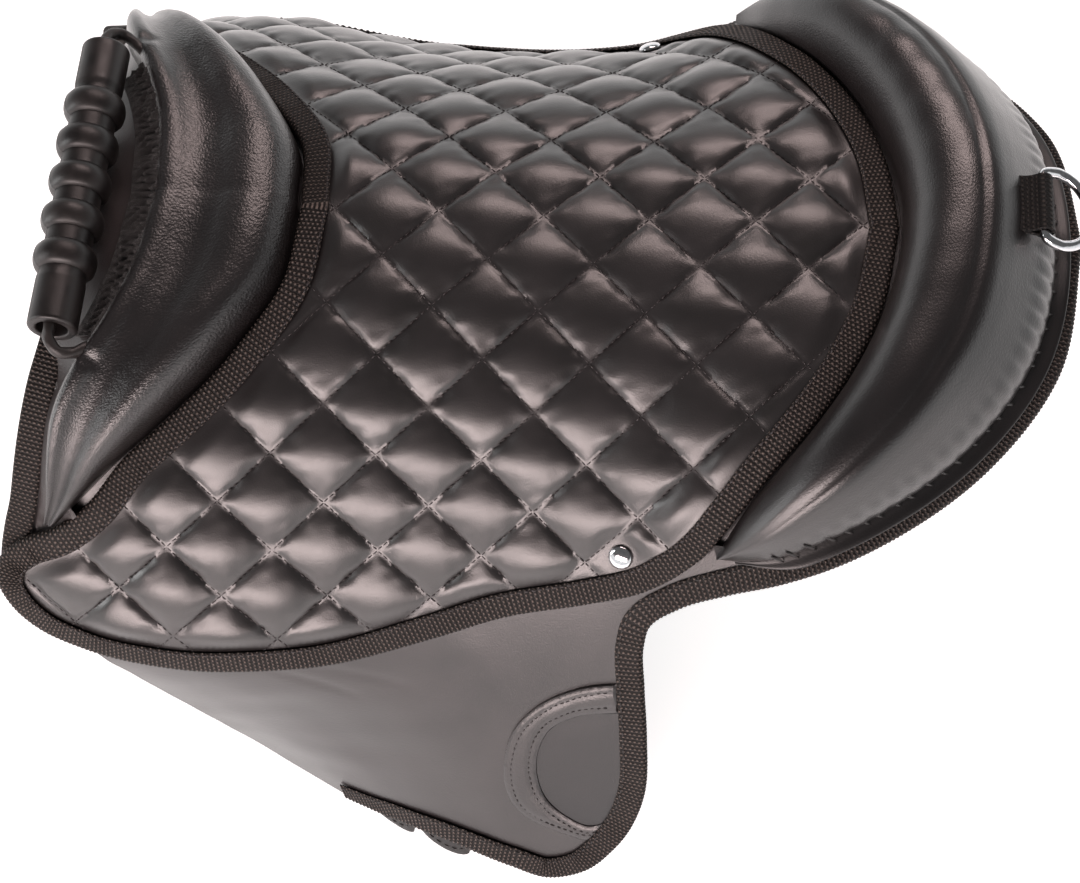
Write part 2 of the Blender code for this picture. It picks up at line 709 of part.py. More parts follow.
def build_skirt():
    """Leather sheet that carries the seat, with tape round its rear edge."""
    near_rear = skirt_rear()
    rear = np.concatenate([near_rear, mirrored(near_rear)[1:]])
    cut = inset(rear, EDGE_GAP + TAPE, False)
    front = curve(np.concatenate([SKIRT_FRONT, hinge_edge(HINGE_GAP / 2, 2)[:1]]), 0.014)
    near = np.concatenate([front, hinge_edge(HINGE_GAP / 2)[1:-1]])
    far = near[:0:-1] * (1.0, -1.0)
    outline = np.concatenate([near, cut, far])
    bottom = SKIRT_TOP - SKIRT_THICKNESS
    skirt = cut_sheet("skirt", outline, lines_over(outline, *SKIRT_CELL), level(bottom),
                      level(SKIRT_TOP), BLACK_LEATHER)
    drill(skirt, RIVET_HOLE)
    path = np.column_stack([rear, np.zeros(len(rear))])
    sweep("skirt_binding", path, edging_section(bottom, SKIRT_TOP), WEBBING)


def build_flap(side, word):
    """Leather flap under one side of the seat, its taped edge and its thigh patch."""
    edge = flap_edge()
    cut = inset(edge, EDGE_GAP + TAPE, False)
    hinge = hinge_edge(-HINGE_GAP / 2)
    cut[0] = hinge[0]
    hinge[-1, 0] = cut[-1, 0]
    outline = np.concatenate([cut[:-1], hinge[:0:-1]])
    taped = edge[np.argmin(np.hypot(*(edge - FLAP_SHAPE[3]).T)):]
    taped[-1, 1] -= 2 * HINGE_GAP
    ring = curve(PATCH_EDGE, 0.008)
    middle = curve(PATCH_MIDDLE, 0.006)
    if side > 0:
        outline, taped, ring, middle = (mirrored(path) for path in (outline, taped, ring, middle))
    bottom = SKIRT_TOP - SKIRT_THICKNESS
    cut_sheet(f"flap_{word}", outline, lines_over(outline, *FLAP_CELL), level(bottom),
              level(SKIRT_TOP), BLACK_LEATHER)
    path = np.column_stack([taped, np.zeros(len(taped))])
    sweep(f"flap_binding_{word}", path, edging_section(bottom, SKIRT_TOP), WEBBING)
    base = SKIRT_TOP + LAYER_GAP
    cut_sheet(f"thigh_frame_{word}", ring, lines_over(ring, *PATCH_CELL), level(base),
              level(base + FRAME_THICKNESS), BLACK_LEATHER, [inset(middle, -PATCH_GAP)])
    cut_sheet(f"thigh_patch_{word}", middle, lines_over(middle, *PATCH_CELL), level(base),
              level(base + PATCH_THICKNESS), BLACK_LEATHER)


def panel_surface(x, s):
    """Upper face of a panel: level near the spine and a step down for the billets."""
    step = smooth((np.abs(s) - PANEL_STEP_START) / (PANEL_STEP_END - PANEL_STEP_START))
    return PANEL_TOP + (PANEL_LOW_TOP - PANEL_TOP) * step


def build_panel(side, word):
    """Padded panel that rests on the back; its lower edge is the foot the saddle stands on."""
    radius = np.array(CANTLE_OUTER[4:0:-1]) + SKIRT_MARGIN - PANEL_MARGIN
    rear = round_centre(np.array(CANTLE_ANGLES[4:0:-1]), radius)
    rear = np.concatenate([PANEL_REAR, rear, [(rear[-1, 0] + 0.007, -SPINE_GAP / 2)]])
    front = np.array(PANEL_FRONT)
    front[0, 1] = -SPINE_GAP / 2
    outline = np.concatenate([curve(front, 0.025), curve(rear, 0.025)])
    if side > 0:
        outline = mirrored(outline)
    cell = PANEL_STEP_END - PANEL_STEP_START
    lines = lines_over(outline, PANEL_CELL, cell)
    low_lines = [np.append(line[:-1:2], line[-1]) for line in lines]
    panel = cut_sheet(f"panel_{word}", outline, lines, level(PANEL_BOTTOM), panel_surface, FOAM,
                      foot=True, low_lines=low_lines)
    combine(panel, [box((-1.0, -1.0, -1.0), (1.0, 1.0, 0.0))], "DIFFERENCE")


def roll_rings(base, height, rear, front, shape):
    """Section of a padded roll: over the top from its first foot to its last, and back."""
    base_points = [(share, 0.0) for share in np.linspace(1.0, 0.0, 6)[1:-1]]
    share = np.array((*shape, *base_points))
    across = rear[:, None] + (front - rear)[:, None] * share[:, 0]
    up = base + (height - base)[:, None] * share[:, 1]
    return across, up


def pommel_lines(s):
    """Rear, front and height of the pommel roll at distances from the spine."""
    side = np.abs(s)
    return (through(POMMEL_SIDE, POMMEL_REAR, side), through(POMMEL_SIDE, POMMEL_FRONT, side),
            through(POMMEL_SIDE, POMMEL_HEIGHT, side))


def build_pommel():
    """Padded roll across the front, its front leather and the felt on its throat."""
    reach = POMMEL_SIDE[-1]
    s = np.linspace(-reach, reach, 29)
    rear, front, height = pommel_lines(s)
    across, up = roll_rings(ROLL_BASE, height, rear, front, POMMEL_SHAPE)
    flat = np.stack([across, np.repeat(s[:, None], across.shape[1], 1), up], -1)
    roll = tube_piece("pommel_roll", lay(flat).reshape(flat.shape), PADDED_LEATHER, edge=60.0)
    cutters = []
    for side in (-1, 1):
        path = cord_path()[::-1][:6] * (1.0, side, 1.0)
        path[0] += (path[0] - path[1]) * 0.4
        cutters.append(as_cutter(tube("cutter", path, CORD_HOLE, 12, FOAM)))
    combine(roll, cutters, "DIFFERENCE")
    for name, width, gap, thick, low, high, finish in (
            ("pommel_face", 0.120, 0.0004, 0.0016, ROLL_BASE, 0.76, BLACK_LEATHER),
            ("throat_trim", 0.124, 0.0024, 0.0018, 0.0040, 0.86, FELT)):
        s = np.linspace(-width / 2, width / 2, 15)
        rear, front, height = pommel_lines(s)
        top = ROLL_BASE + (height - ROLL_BASE) * high
        ahead = front - gap
        low = np.full(len(s), low)
        flat = np.stack([np.stack([ahead, s, low], -1), np.stack([ahead - thick, s, low], -1),
                         np.stack([ahead - thick, s, top], -1), np.stack([ahead, s, top], -1)], 1)
        tube_piece(name, lay(flat).reshape(flat.shape), finish)


def build_cantle():
    """Padded roll round the rear, the flat strip along its foot, the ring and its keeper."""
    turn = np.linspace(-ROLL_ANGLE, ROLL_ANGLE, 31)
    inner = through(CANTLE_ANGLES, CANTLE_INNER, np.abs(turn))
    outer = through(CANTLE_ANGLES, CANTLE_OUTER, np.abs(turn))
    height = through(CANTLE_ANGLES, CANTLE_HEIGHT, np.abs(turn))
    lip = STRIP_TOP + LAYER_GAP
    tuck = outer - STRIP_TUCK - LAYER_GAP
    radius, up = roll_rings(ROLL_BASE, height, inner, outer, CANTLE_SHAPE)
    top = len(CANTLE_SHAPE)
    foot = np.linspace(tuck, inner, 6)[:-1].T
    radius = np.concatenate([radius[:, :top], outer[:, None], outer[:, None], tuck[:, None], foot], 1)
    level_up = np.array((lip + 0.0025, lip, lip, *[ROLL_BASE] * 5))
    up = np.concatenate([up[:, :top], np.repeat(level_up[None], len(turn), 0)], 1)
    place = round_centre(turn[:, None], radius)
    flat = np.concatenate([place, up[..., None]], -1)
    roll = tube_piece("cantle_roll", lay(flat).reshape(flat.shape), PADDED_LEATHER, edge=60.0)
    slot = KEEPER_TAIL + 0.0010
    middle = ring_place()
    half = KEEPER_WIDTH / 2 + 0.0004
    combine(roll, [box((middle[0] - slot, -half, middle[2] - 0.0019),
                       (middle[0] + 0.010, half, middle[2] + 0.0019))], "DIFFERENCE")
    turn = turn[np.abs(turn) <= STRIP_ANGLE]
    outer = through(CANTLE_ANGLES, CANTLE_OUTER, np.abs(turn))
    corners = ((-STRIP_TUCK, STRIP_BOTTOM), (STRIP_SHOW, STRIP_BOTTOM), (STRIP_SHOW, STRIP_TOP),
               (-STRIP_TUCK, STRIP_TOP))
    flat = np.stack([np.concatenate([round_centre(turn, outer + r), np.full((len(turn), 1), n)], 1)
                     for r, n in corners], 1)
    tube_piece("cantle_strip", lay(flat).reshape(flat.shape), BLACK_LEATHER)


def ring_place():
    """Middle of the crupper ring's bar in the world."""
    return np.array((RING_X - MIDDLE_X, 0.0, RING_Z + FLOOR_DROP))


def build_ring():
    """Chrome D ring and the webbing loop that holds its bar."""
    half = RING_WIDTH / 2 - RING_WIRE
    depth = RING_DEPTH - 2 * RING_WIRE
    bow = np.radians(np.linspace(-90, 90, 17))
    round_part = np.stack([0.30 * depth + 0.70 * depth * np.cos(bow), half * np.sin(bow)], 1)
    bar = half * np.array(((0.10, 0.92), (0.0, 0.74), (0.0, 0.37), (0.0, 0.0), (0.0, -0.37), (0.0, -0.74),
                           (0.10, -0.92)))
    line = np.concatenate([round_part, bar])
    path = np.stack([line[:, 0] * math.cos(RING_LEAN), line[:, 1], -line[:, 0] * math.sin(RING_LEAN)], 1)
    tube("crupper_ring", ring_place() + path, RING_WIRE, 10, CHROME, True)
    radius = RING_WIRE + 0.0005 + KEEPER_THICKNESS / 2
    layer = KEEPER_THICKNESS / 2 + 0.00015
    bend = np.radians(np.linspace(-140, 140, 13))
    loop = np.stack([radius * np.cos(bend), radius * np.sin(bend)], 1)
    tail = [(-0.0062, layer), (-0.0095, layer), (-KEEPER_TAIL + layer, layer), (-KEEPER_TAIL, 0.0),
            (-KEEPER_TAIL + layer, -layer), (-0.0095, -layer), (-0.0062, -layer)]
    loop = np.concatenate([loop, tail])
    side = normals(loop, True)
    rings = []
    for point, way in zip(loop, side):
        corners = []
        for across, y in ((-1, -1), (1, -1), (1, 1), (-1, 1)):
            u, v = point + way * across * KEEPER_THICKNESS / 2
            corners.append(ring_place() + (u, y * KEEPER_WIDTH / 2, v))
        rings.append(corners)
    tube_piece("ring_keeper", np.array(rings), WEBBING, True)


def build_rivet(side, word):
    """Domed rivet through seat and skirt, and its burr underneath."""
    place = frame_at(RIVET_X, side * RIVET_S)
    head = SEAT_STITCH + 0.0004
    foot = SKIRT_TOP - SKIRT_THICKNESS - 0.0011
    profile = ((0.0016, foot - 0.0011), (0.0016, head), (0.0050, head), (0.00535, head + 0.0006),
               (0.0048, head + 0.0015), (0.0034, head + 0.0024), (0.0014, head + 0.0029))
    turned(f"rivet_{word}", profile, place, CHROME, 18)
    ring = ((0.0019, foot - 0.0008), (0.0042, foot - 0.0008), (0.0042, foot), (0.0019, foot))
    turned(f"rivet_burr_{word}", ring, place, CHROME, 14, True)


def cord_path():
    """Cord of the grab handle from the spine to its far end, in the world."""
    height = GRIP_Z + BORE_RADIUS - CORD_RADIUS - CORD_GAP
    inner = [(GRIP_X, reach, height) for reach in (0.0, GRIP_LENGTH / 2 - 0.004, GRIP_LENGTH / 2)]
    points = np.concatenate([inner, CORD_BEND])
    start = curve(points[1:], 0.004)
    path = np.concatenate([points[:1], start])
    return path + (-MIDDLE_X, 0.0, FLOOR_DROP)


def build_handle():
    """Ribbed rubber grip and the cord it turns on."""
    half = cord_path()
    path = np.concatenate([half[:0:-1] * (1.0, -1.0, 1.0), half])
    tube("grip_cord", path, CORD_RADIUS, 10, WEBBING)
    end = GRIP_LENGTH / 2
    rim = GRIP_RADIUS - 0.0015
    outer = [(rim, -end), (GRIP_RADIUS, -end + 0.0015)]
    for k in range(-2, 3):
        middle = k * RIB_PITCH
        outer.append((NECK_RADIUS if k > -2 else GRIP_RADIUS, middle - RIB_PITCH / 2))
        for reach, radius in ((0.0045, 0.0114), (0.0020, RIB_RADIUS)):
            outer.append((radius, middle - reach))
        for reach, radius in ((0.0020, RIB_RADIUS), (0.0045, 0.0114)):
            outer.append((radius, middle + reach))
    outer.append((GRIP_RADIUS, 2.5 * RIB_PITCH))
    outer += [(GRIP_RADIUS, end - 0.0015), (rim, end)]
    profile = outer + [(BORE_RADIUS, end), (BORE_RADIUS, -end)]
    place = Matrix.Translation((GRIP_X - MIDDLE_X, 0.0, GRIP_Z + FLOOR_DROP))
    place = place @ Matrix.Rotation(-math.pi / 2, 4, "X")
    turned("grip", profile, place, RUBBER, 16, True)


def build_front_band():
    """Webbing strap from one seat tip to the other in front of the pommel."""
    half = curve(FRONT_BAND, 0.014)
    path = np.concatenate([half, mirrored(half)[1:]])
    edge = BAND_WIDTH / 2
    sweep("front_band", path, ((-edge, -0.001), (-edge, 0.001), (edge, 0.001), (edge, -0.001)), WEBBING)


def build_girthing():
    """Webs over the panels, the billets sewn to their ends and the stirrup loops."""
    low = SKIRT_TOP - SKIRT_THICKNESS - LAYER_GAP - WEB_THICKNESS
    half = WEB_WIDTH / 2
    for middle, end, word in zip(GIRTH_X, BILLET_END, ("front", "rear")):
        s = np.linspace(-WEB_REACH, WEB_REACH, 25)
        path = np.stack([np.full(25, middle), s, np.full(25, low)], 1)
        section = ((-half, 0.0), (-half, WEB_THICKNESS), (half, WEB_THICKNESS), (half, 0.0))
        sweep(f"girth_web_{word}", path, section, WEBBING)
        for side, hand in ((-1, "left"), (1, "right")):
            edge = half - 0.0010
            outline = np.array(((middle - edge, BILLET_START), (middle + edge, BILLET_START),
                                (middle + edge, end - 0.006), (middle + edge - 0.006, end),
                                (middle - edge + 0.006, end), (middle - edge, end - 0.006)))
            places = end - 0.030 - np.arange(5) * BILLET_PITCH
            holes = [circle((middle, side * at), BILLET_HOLE / 2, 8) for at in places]
            outline = outline * (1.0, side)
            top = low - LAYER_GAP
            lines = (middle + half * np.array((-0.45, 0.45)), lines_over(outline, 1.0, BILLET_CELL)[1])
            cut_sheet(f"billet_{word}_{hand}", outline, lines,
                      level(top - BILLET_THICKNESS), level(top), BLACK_LEATHER, holes)
    for side, hand in ((-1, "left"), (1, "right")):
        bend = np.radians(np.linspace(-90, 90, 5))
        round_end = np.stack([np.cos(bend), np.sin(bend)], 1) * (LOOP_SLOT / 2 + 0.0008)
        far = round_end + (LOOP_END - 0.0015, 0.0)
        near = -round_end + (LOOP_START + 0.0015, 0.0)
        straight = np.linspace(LOOP_START + 0.0015, LOOP_END - 0.0015, 5)[1:-1]
        up = LOOP_SLOT / 2 + 0.0008
        line = np.concatenate([far, np.stack([straight[::-1], np.full(3, up)], 1), near,
                               np.stack([straight, np.full(3, -up)], 1)])
        way = normals(line, True)
        middle = PANEL_LOW_TOP + 0.0008 + 0.0016 + LOOP_SLOT / 2
        rings = []
        for point, ahead in zip(line, way):
            corners = []
            for across, x in ((-1, -1), (1, -1), (1, 1), (-1, 1)):
                s, n = point + ahead * across * 0.0008
                corners.append((LOOP_X + x * LOOP_WIDTH / 2, side * s, middle + n))
            rings.append(corners)
        flat = np.array(rings)
        tube_piece(f"stirrup_loop_{hand}", lay(flat).reshape(flat.shape), WEBBING, True)


def main():
    """Build every piece of the saddle in an empty scene."""
    for found in list(bpy.data.objects):
        bpy.data.objects.remove(found)
    build_seat()
    build_skirt()
    for side, word in ((-1, "left"), (1, "right")):
        build_flap(side, word)
        build_panel(side, word)
        build_rivet(side, word)
    build_pommel()
    build_cantle()
    build_ring()
    build_handle()
    build_front_band()
    build_girthing()


main()
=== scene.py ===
"""Looks of the treeless pony saddle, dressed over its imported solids.

A flat place is (x, s, n): x along the back, s the distance round the side from the spine and n
the height off the back, all in metres. The front is at -X and the near side at -Y. Every leather
piece is a surface worked out in flat places and then laid over the back.
"""
import math

import bmesh
import bpy
import numpy as np
from mathutils import Matrix, Vector
from mathutils.geometry import delaunay_2d_cdt


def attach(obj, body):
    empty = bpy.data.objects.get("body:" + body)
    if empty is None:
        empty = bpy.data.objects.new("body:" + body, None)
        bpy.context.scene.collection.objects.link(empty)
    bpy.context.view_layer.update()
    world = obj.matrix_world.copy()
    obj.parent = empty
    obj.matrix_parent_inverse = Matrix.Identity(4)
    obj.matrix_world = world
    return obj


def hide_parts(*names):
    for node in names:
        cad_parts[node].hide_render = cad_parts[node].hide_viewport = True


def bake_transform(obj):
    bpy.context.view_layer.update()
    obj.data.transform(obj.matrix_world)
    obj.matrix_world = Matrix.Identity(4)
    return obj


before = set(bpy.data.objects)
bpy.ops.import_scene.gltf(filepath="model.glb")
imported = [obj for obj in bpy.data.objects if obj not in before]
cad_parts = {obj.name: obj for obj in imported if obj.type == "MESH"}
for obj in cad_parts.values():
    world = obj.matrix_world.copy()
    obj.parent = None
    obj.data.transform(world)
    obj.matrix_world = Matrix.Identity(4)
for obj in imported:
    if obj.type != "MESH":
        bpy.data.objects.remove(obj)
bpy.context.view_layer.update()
MM = 0.001
HANDS = ((-1, "left"), (1, "right"))

# Angles in degrees above which an edge is shaded sharp: on soft pieces, on bands and turned
# pieces, and on stitches.
SOFT_EDGE, BAND_EDGE, STITCH_EDGE = 60.0, 50.0, 70.0

# The photograph's camera: its place, the way it looks and how far it is rolled, from a fit to
# the seams of the quilting.
PHOTO_SIZE = (1080, 883)
CAMERA_PLACE = (0.0833, -0.4476, 0.9677)
CAMERA_TURN = 12.24
CAMERA_RISE = 64.46
CAMERA_ROLL = -9.04
FOCAL_PIXELS = 2006.0
SENSOR_WIDTH = 36.0

# Place of the model and the shape of the back, as the solids have them: place along the back,
# rise of the spine, turn of the side over the first 100 mm and its part that grows by the cube.
MIDDLE_X = 0.0417
FLOOR_DROP = 0.240
BACK_STATIONS = (
    (-0.190, 0.0084, 0.60, 0.15),
    (-0.110, -0.0017, 0.57, 0.04),
    (-0.020, 0.0000, 0.80, 0.00),
    (0.070, -0.0034, 0.65, 0.07),
    (0.160, -0.0029, 0.28, 0.06),
    (0.260, -0.0095, 0.46, 0.07),
)
TURN_LENGTH = 0.100
SIDE_SLOPE = 0.94
SHOULDER_TUCK = 0.60
SHOULDER_REAR, SHOULDER_FRONT = 0.040, -0.110
TUCK_START, TUCK_END = 0.175, 0.250
FOOT_START, FOOT_END = 0.262, 0.305

# Layers off the back.
EDGE_GAP = 0.0010
TAPE = 0.0010
TAPE_WIDTH = 0.0120
SEAT_BOTTOM = -0.0026
SEAT_STITCH = -0.0006
SEAT_PUFF = 0.0036
SKIRT_TOP = -0.0058
SKIRT_THICKNESS = 0.0020
LAYER_GAP = 0.0005
WEB_THICKNESS = 0.0018
PANEL_TOP = SKIRT_TOP - SKIRT_THICKNESS - WEB_THICKNESS - 2 * LAYER_GAP
PANEL_LOW_TOP = -0.0144
PANEL_BOTTOM = -0.0265
PANEL_STEP_START, PANEL_STEP_END = 0.140, 0.154
ROLL_BASE = SKIRT_TOP + LAYER_GAP

# Quilting: half the length and half the width of a diamond, the stitches along its side, and
# the seams laid out to each side of the middle.
DIAMOND_X = 0.0225
DIAMOND_S = 0.0217
STITCHES = 10
SEAMS = 12

# Its finer form: how far the crowns reach under the tape and the way they rise over, the same
# round a rivet, the width and depth of a seam's pull, the depth of a needle hole, the lift of
# the gathers beside a seam and the spread of the crowns' heights.
QUILT_EDGE, QUILT_RISE = 0.002, 0.012
RIVET_FLAT, RIVET_RISE = 0.0062, 0.0085
SEAM_PULL, SEAM_DEPTH, HOLE_DEPTH = 0.0022, 0.00012, 0.00014
GATHER_LIFT, PUFF_SPREAD = 0.00022, 0.10

# Outlines in the flat, near side. Those of the thigh patch run on under the flap's tape.
CANTLE_CENTRE = 0.070
CANTLE_ANGLES = (0.0, 18.0, 32.0, 46.0, 56.0, 63.0, 70.0)
CANTLE_INNER = (0.1265, 0.1258, 0.1268, 0.1300, 0.1350, 0.1420, 0.1550)
CANTLE_OUTER = (0.1900, 0.1890, 0.1815, 0.1730, 0.1680, 0.1645, 0.1560)
CANTLE_HEIGHT = (0.0340, 0.0340, 0.0325, 0.0270, 0.0190, 0.0120, 0.0030)
SKIRT_MARGIN = 0.0125
SEAT_CLEARANCE = 0.0012
POMMEL_SIDE = (0.000, 0.035, 0.058, 0.075, 0.095, 0.115, 0.134, 0.147)
POMMEL_REAR = (-0.061, -0.066, -0.080, -0.093, -0.112, -0.132, -0.149, -0.161)
POMMEL_FRONT = (-0.122, -0.127, -0.136, -0.146, -0.155, -0.159, -0.162, -0.166)
POMMEL_HEIGHT = (0.016, 0.019, 0.024, 0.026, 0.024, 0.018, 0.010, 0.003)
SEAT_TIP = (
    (-0.147, -0.1365), (-0.162, -0.1490), (-0.178, -0.1570), (-0.1885, -0.1670), (-0.1910, -0.1790),
    (-0.1865, -0.1910), (-0.1750, -0.2030), (-0.1560, -0.2110), (-0.1160, -0.2150), (-0.0840, -0.2140),
    (-0.0450, -0.2100), (-0.0010, -0.1950), (0.0340, -0.1810), (0.0690, -0.1720), (0.0930, -0.1640),
    (0.1160, -0.1480),
)
RIVET_X, RIVET_S = 0.083, 0.148
SKIRT_SIDE = ((0.0935, -0.1930), (0.0955, -0.1840), (0.1080, -0.1730), (0.1290, -0.1640))
SKIRT_FRONT = ((-0.1160, 0.0000), (-0.1210, -0.0350), (-0.1300, -0.0580), (-0.1400, -0.0750),
               (-0.1520, -0.1100), (-0.1600, -0.1500), (-0.1660, -0.1850), (-0.1620, -0.2080))
HINGE_FRONT = (-0.1500, -0.2280)
HINGE_REAR = (0.0935, -0.1940)
FLAP_SHAPE = (
    (-0.1400, -0.2420), (-0.1190, -0.2720), (-0.0990, -0.3030), (-0.0810, -0.3220), (-0.0580, -0.3300),
    (-0.0400, -0.3270), (-0.0210, -0.3220), (0.0000, -0.3195), (0.0310, -0.3240), (0.0490, -0.3290),
    (0.0670, -0.3230), (0.0800, -0.3090), (0.0890, -0.2930), (0.0950, -0.2720), (0.0955, -0.2430),
    (0.0940, -0.2150),
)
PATCH_EDGE = (
    (0.0860, -0.2130), (0.0650, -0.2185), (0.0460, -0.2300), (0.0350, -0.2440), (0.0305, -0.2600),
    (0.0305, -0.2760), (0.0345, -0.2870), (0.0460, -0.2965), (0.0580, -0.3010), (0.0690, -0.3030),
    (0.0775, -0.2990), (0.0845, -0.2850), (0.0868, -0.2600), (0.0865, -0.2350),
)
PATCH_MIDDLE = (
    (0.0845, -0.2290), (0.0640, -0.2335), (0.0520, -0.2415), (0.0465, -0.2530), (0.0455, -0.2680),
    (0.0495, -0.2810), (0.0590, -0.2905), (0.0690, -0.2945), (0.0765, -0.2915), (0.0825, -0.2810),
    (0.0848, -0.2600), (0.0850, -0.2400),
)
PANEL_FRONT = (
    (-0.1260, -0.0210), (-0.1290, -0.0450), (-0.1400, -0.0800), (-0.1520, -0.1200), (-0.1570, -0.1550),
    (-0.1540, -0.1900), (-0.1460, -0.2150), (-0.1300, -0.2500), (-0.1120, -0.2900), (-0.1010, -0.3180),
    (-0.0930, -0.3500),
)
PANEL_REAR = ((0.0780, -0.3500), (0.0780, -0.3000), (0.0790, -0.2400), (0.0840, -0.2000),
              (0.1000, -0.1720))
PANEL_MARGIN = 0.020
SPINE_GAP = 0.042
FRONT_BAND = (
    (-0.1850, -0.1830, -0.0060), (-0.1830, -0.1640, -0.0060), (-0.1770, -0.1430, -0.0052),
    (-0.1715, -0.1150, -0.0036), (-0.1655, -0.0850, -0.0030), (-0.1620, -0.0680, -0.0050),
    (-0.1590, -0.0400, -0.0110), (-0.1580, 0.0000, -0.0130),
)
BAND_WIDTH = 0.0120

# Section of each roll: share of the way across its foot and share of its height.
POMMEL_SHAPE = (
    (0.0, 0.0), (0.015, 0.28), (0.07, 0.62), (0.17, 0.88), (0.30, 0.99), (0.42, 0.96), (0.55, 0.86),
    (0.66, 0.83), (0.76, 0.87), (0.85, 0.95), (0.92, 0.94), (0.97, 0.84), (0.99, 0.70), (1.0, 0.30), (1.0, 0.0),
)
CANTLE_SHAPE = (
    (0.0, 0.0), (0.0, 0.38), (0.03, 0.56), (0.09, 0.74), (0.18, 0.88), (0.28, 0.965), (0.37, 1.0),
    (0.445, 0.988), (0.475, 0.978), (0.51, 0.982), (0.57, 0.955), (0.66, 0.85), (0.76, 0.70), (0.85, 0.565),
    (0.91, 0.48), (0.96, 0.38), (0.99, 0.27), (1.0, 0.17),
)
STRIP_TOP, STRIP_BOTTOM = -0.0014, -0.0030
STRIP_TUCK, STRIP_SHOW = 0.0060, 0.0070
STRIP_ANGLE, ROLL_ANGLE = 67.5, 69.8

# Handle, ring, webs and billets.
CORD_BEND = (
    (-0.1530, 0.0765, 0.0145), (-0.1495, 0.0800, 0.0115), (-0.1450, 0.0790, 0.0085),
    (-0.1395, 0.0750, 0.0065), (-0.1320, 0.0700, 0.0055),
)
GRIP_X, GRIP_Z, GRIP_LENGTH = -0.1535, 0.0125, 0.1410
GRIP_RADIUS, RIB_RADIUS, NECK_RADIUS, BORE_RADIUS = 0.0105, 0.0134, 0.0100, 0.0065
RIB_PITCH = 0.0190
CORD_RADIUS, CORD_GAP = 0.0025, 0.0003
RING_X, RING_Z, RING_WIRE = 0.2515, 0.0150, 0.00225
RING_WIDTH, RING_DEPTH, RING_LEAN = 0.0390, 0.0270, 0.42
KEEPER_WIDTH, KEEPER_THICKNESS, KEEPER_TAIL = 0.0260, 0.0014, 0.0180

# Webs, billets and stirrup loops.
GIRTH_X = (-0.0305, -0.0015)
WEB_WIDTH, WEB_REACH = 0.0270, 0.1680
BILLET_START, BILLET_END = 0.1500, (0.3380, 0.3330)
BILLET_THICKNESS, BILLET_HOLE, BILLET_PITCH = 0.0024, 0.0050, 0.0250
LOOP_X, LOOP_START, LOOP_END = -0.0950, 0.2000, 0.2450
LOOP_WIDTH, LOOP_SLOT = 0.0250, 0.0014

# Finer forms of the scene: the tape's fold and ribs, the whip stitches' pitch, where the flap's
# leather starts under the seat, and how far before and after the hinge it bends.
FOLD = 0.0024
RIB_STEP, RIB_LIFT = 0.0020, 0.00020
WHIP_PITCH = 0.0080
UNDER_SEAT = (
    (-0.1645, -0.1975), (-0.1420, -0.2030), (-0.1160, -0.2060), (-0.0840, -0.2050), (-0.0450, -0.2010),
    (-0.0010, -0.1865), (0.0340, -0.1725), (0.0690, -0.1635), (0.0930, -0.1520), (0.1150, -0.1330),
    (0.1360, -0.1060), (0.1500, -0.1270), (0.1640, -0.1500),
)
BEND_BEFORE, BEND_AFTER = 0.0050, 0.0075

# Where the cord goes into the roll, the place of the stitches in from an edge on the thigh
# patches and the billets, and the radius that spaces the whip stitches.
CORD_DENT = (-0.1375, 0.0738)
PATCH_SEAM, BILLET_SEAM = 0.0034, 0.0035
WHIP_RADIUS = 0.180

# Studio: strength of the floor's own light, the floor's half width, the height of a ray's way
# over which reflected white fades, and the room's light for matt pieces and for glossy rays.
FLOOR_GLOW = 0.75
FLOOR_REACH = 60.0
WHITE_FULL, WHITE_GONE = 0.18, 0.42
ROOM_LIGHT, GLOSSY_LIGHT = 0.16, 0.12


def smooth(value):
    """Rise from 0 to 1 with level ends: 3t² - 2t³."""
    value = np.clip(value, 0.0, 1.0)
    return value * value * (3.0 - 2.0 * value)


def through(places, values, at):
    """Cubic Hermite curve through (places, values), read at `at`, straight beyond its ends."""
    places = np.asarray(places, float)
    values = np.asarray(values, float)
    at = np.asarray(at, float)
    step = np.diff(places)
    rate = np.diff(values) / step
    slope = np.empty(len(places))
    slope[0] = rate[0]
    slope[-1] = rate[-1]
    slope[1:-1] = (rate[:-1] * step[1:] + rate[1:] * step[:-1]) / (step[1:] + step[:-1])
    index = np.clip(np.searchsorted(places, at) - 1, 0, len(places) - 2)
    part = (at - places[index]) / step[index]
    t = np.clip(part, 0.0, 1.0)
    curve = (1 + 2 * t) * (1 - t) ** 2 * values[index] + t * (1 - t) ** 2 * step[index] * slope[index]
    curve += t * t * (3 - 2 * t) * values[index + 1] + t * t * (t - 1) * step[index] * slope[index + 1]
    over = np.where(part > 1, (at - places[index + 1]) * slope[index + 1], 0.0)
    under = np.where(part < 0, (at - places[index]) * slope[index], 0.0)
    return curve + over + under


def side_slope(x, s, foot):
    """Angle of the side below level: a tanh of the turn, tucked in under the shoulder."""
    stations = np.array(BACK_STATIONS).T
    crown = through(stations[0], stations[2], x)
    side = through(stations[0], stations[3], x)
    reach = s / TURN_LENGTH
    angle = SIDE_SLOPE * np.tanh((crown * reach + side * reach ** 3) / SIDE_SLOPE)
    forward = smooth((SHOULDER_REAR - x) / (SHOULDER_REAR - SHOULDER_FRONT))
    lower = smooth((np.abs(s) - TUCK_START) / (TUCK_END - TUCK_START))
    angle = angle + np.sign(s) * SHOULDER_TUCK * forward * lower
    if foot:
        upright = smooth((np.abs(s) - FOOT_START) / (FOOT_END - FOOT_START))
        angle = angle + (np.sign(s) * math.pi / 2 - angle) * upright
    return angle


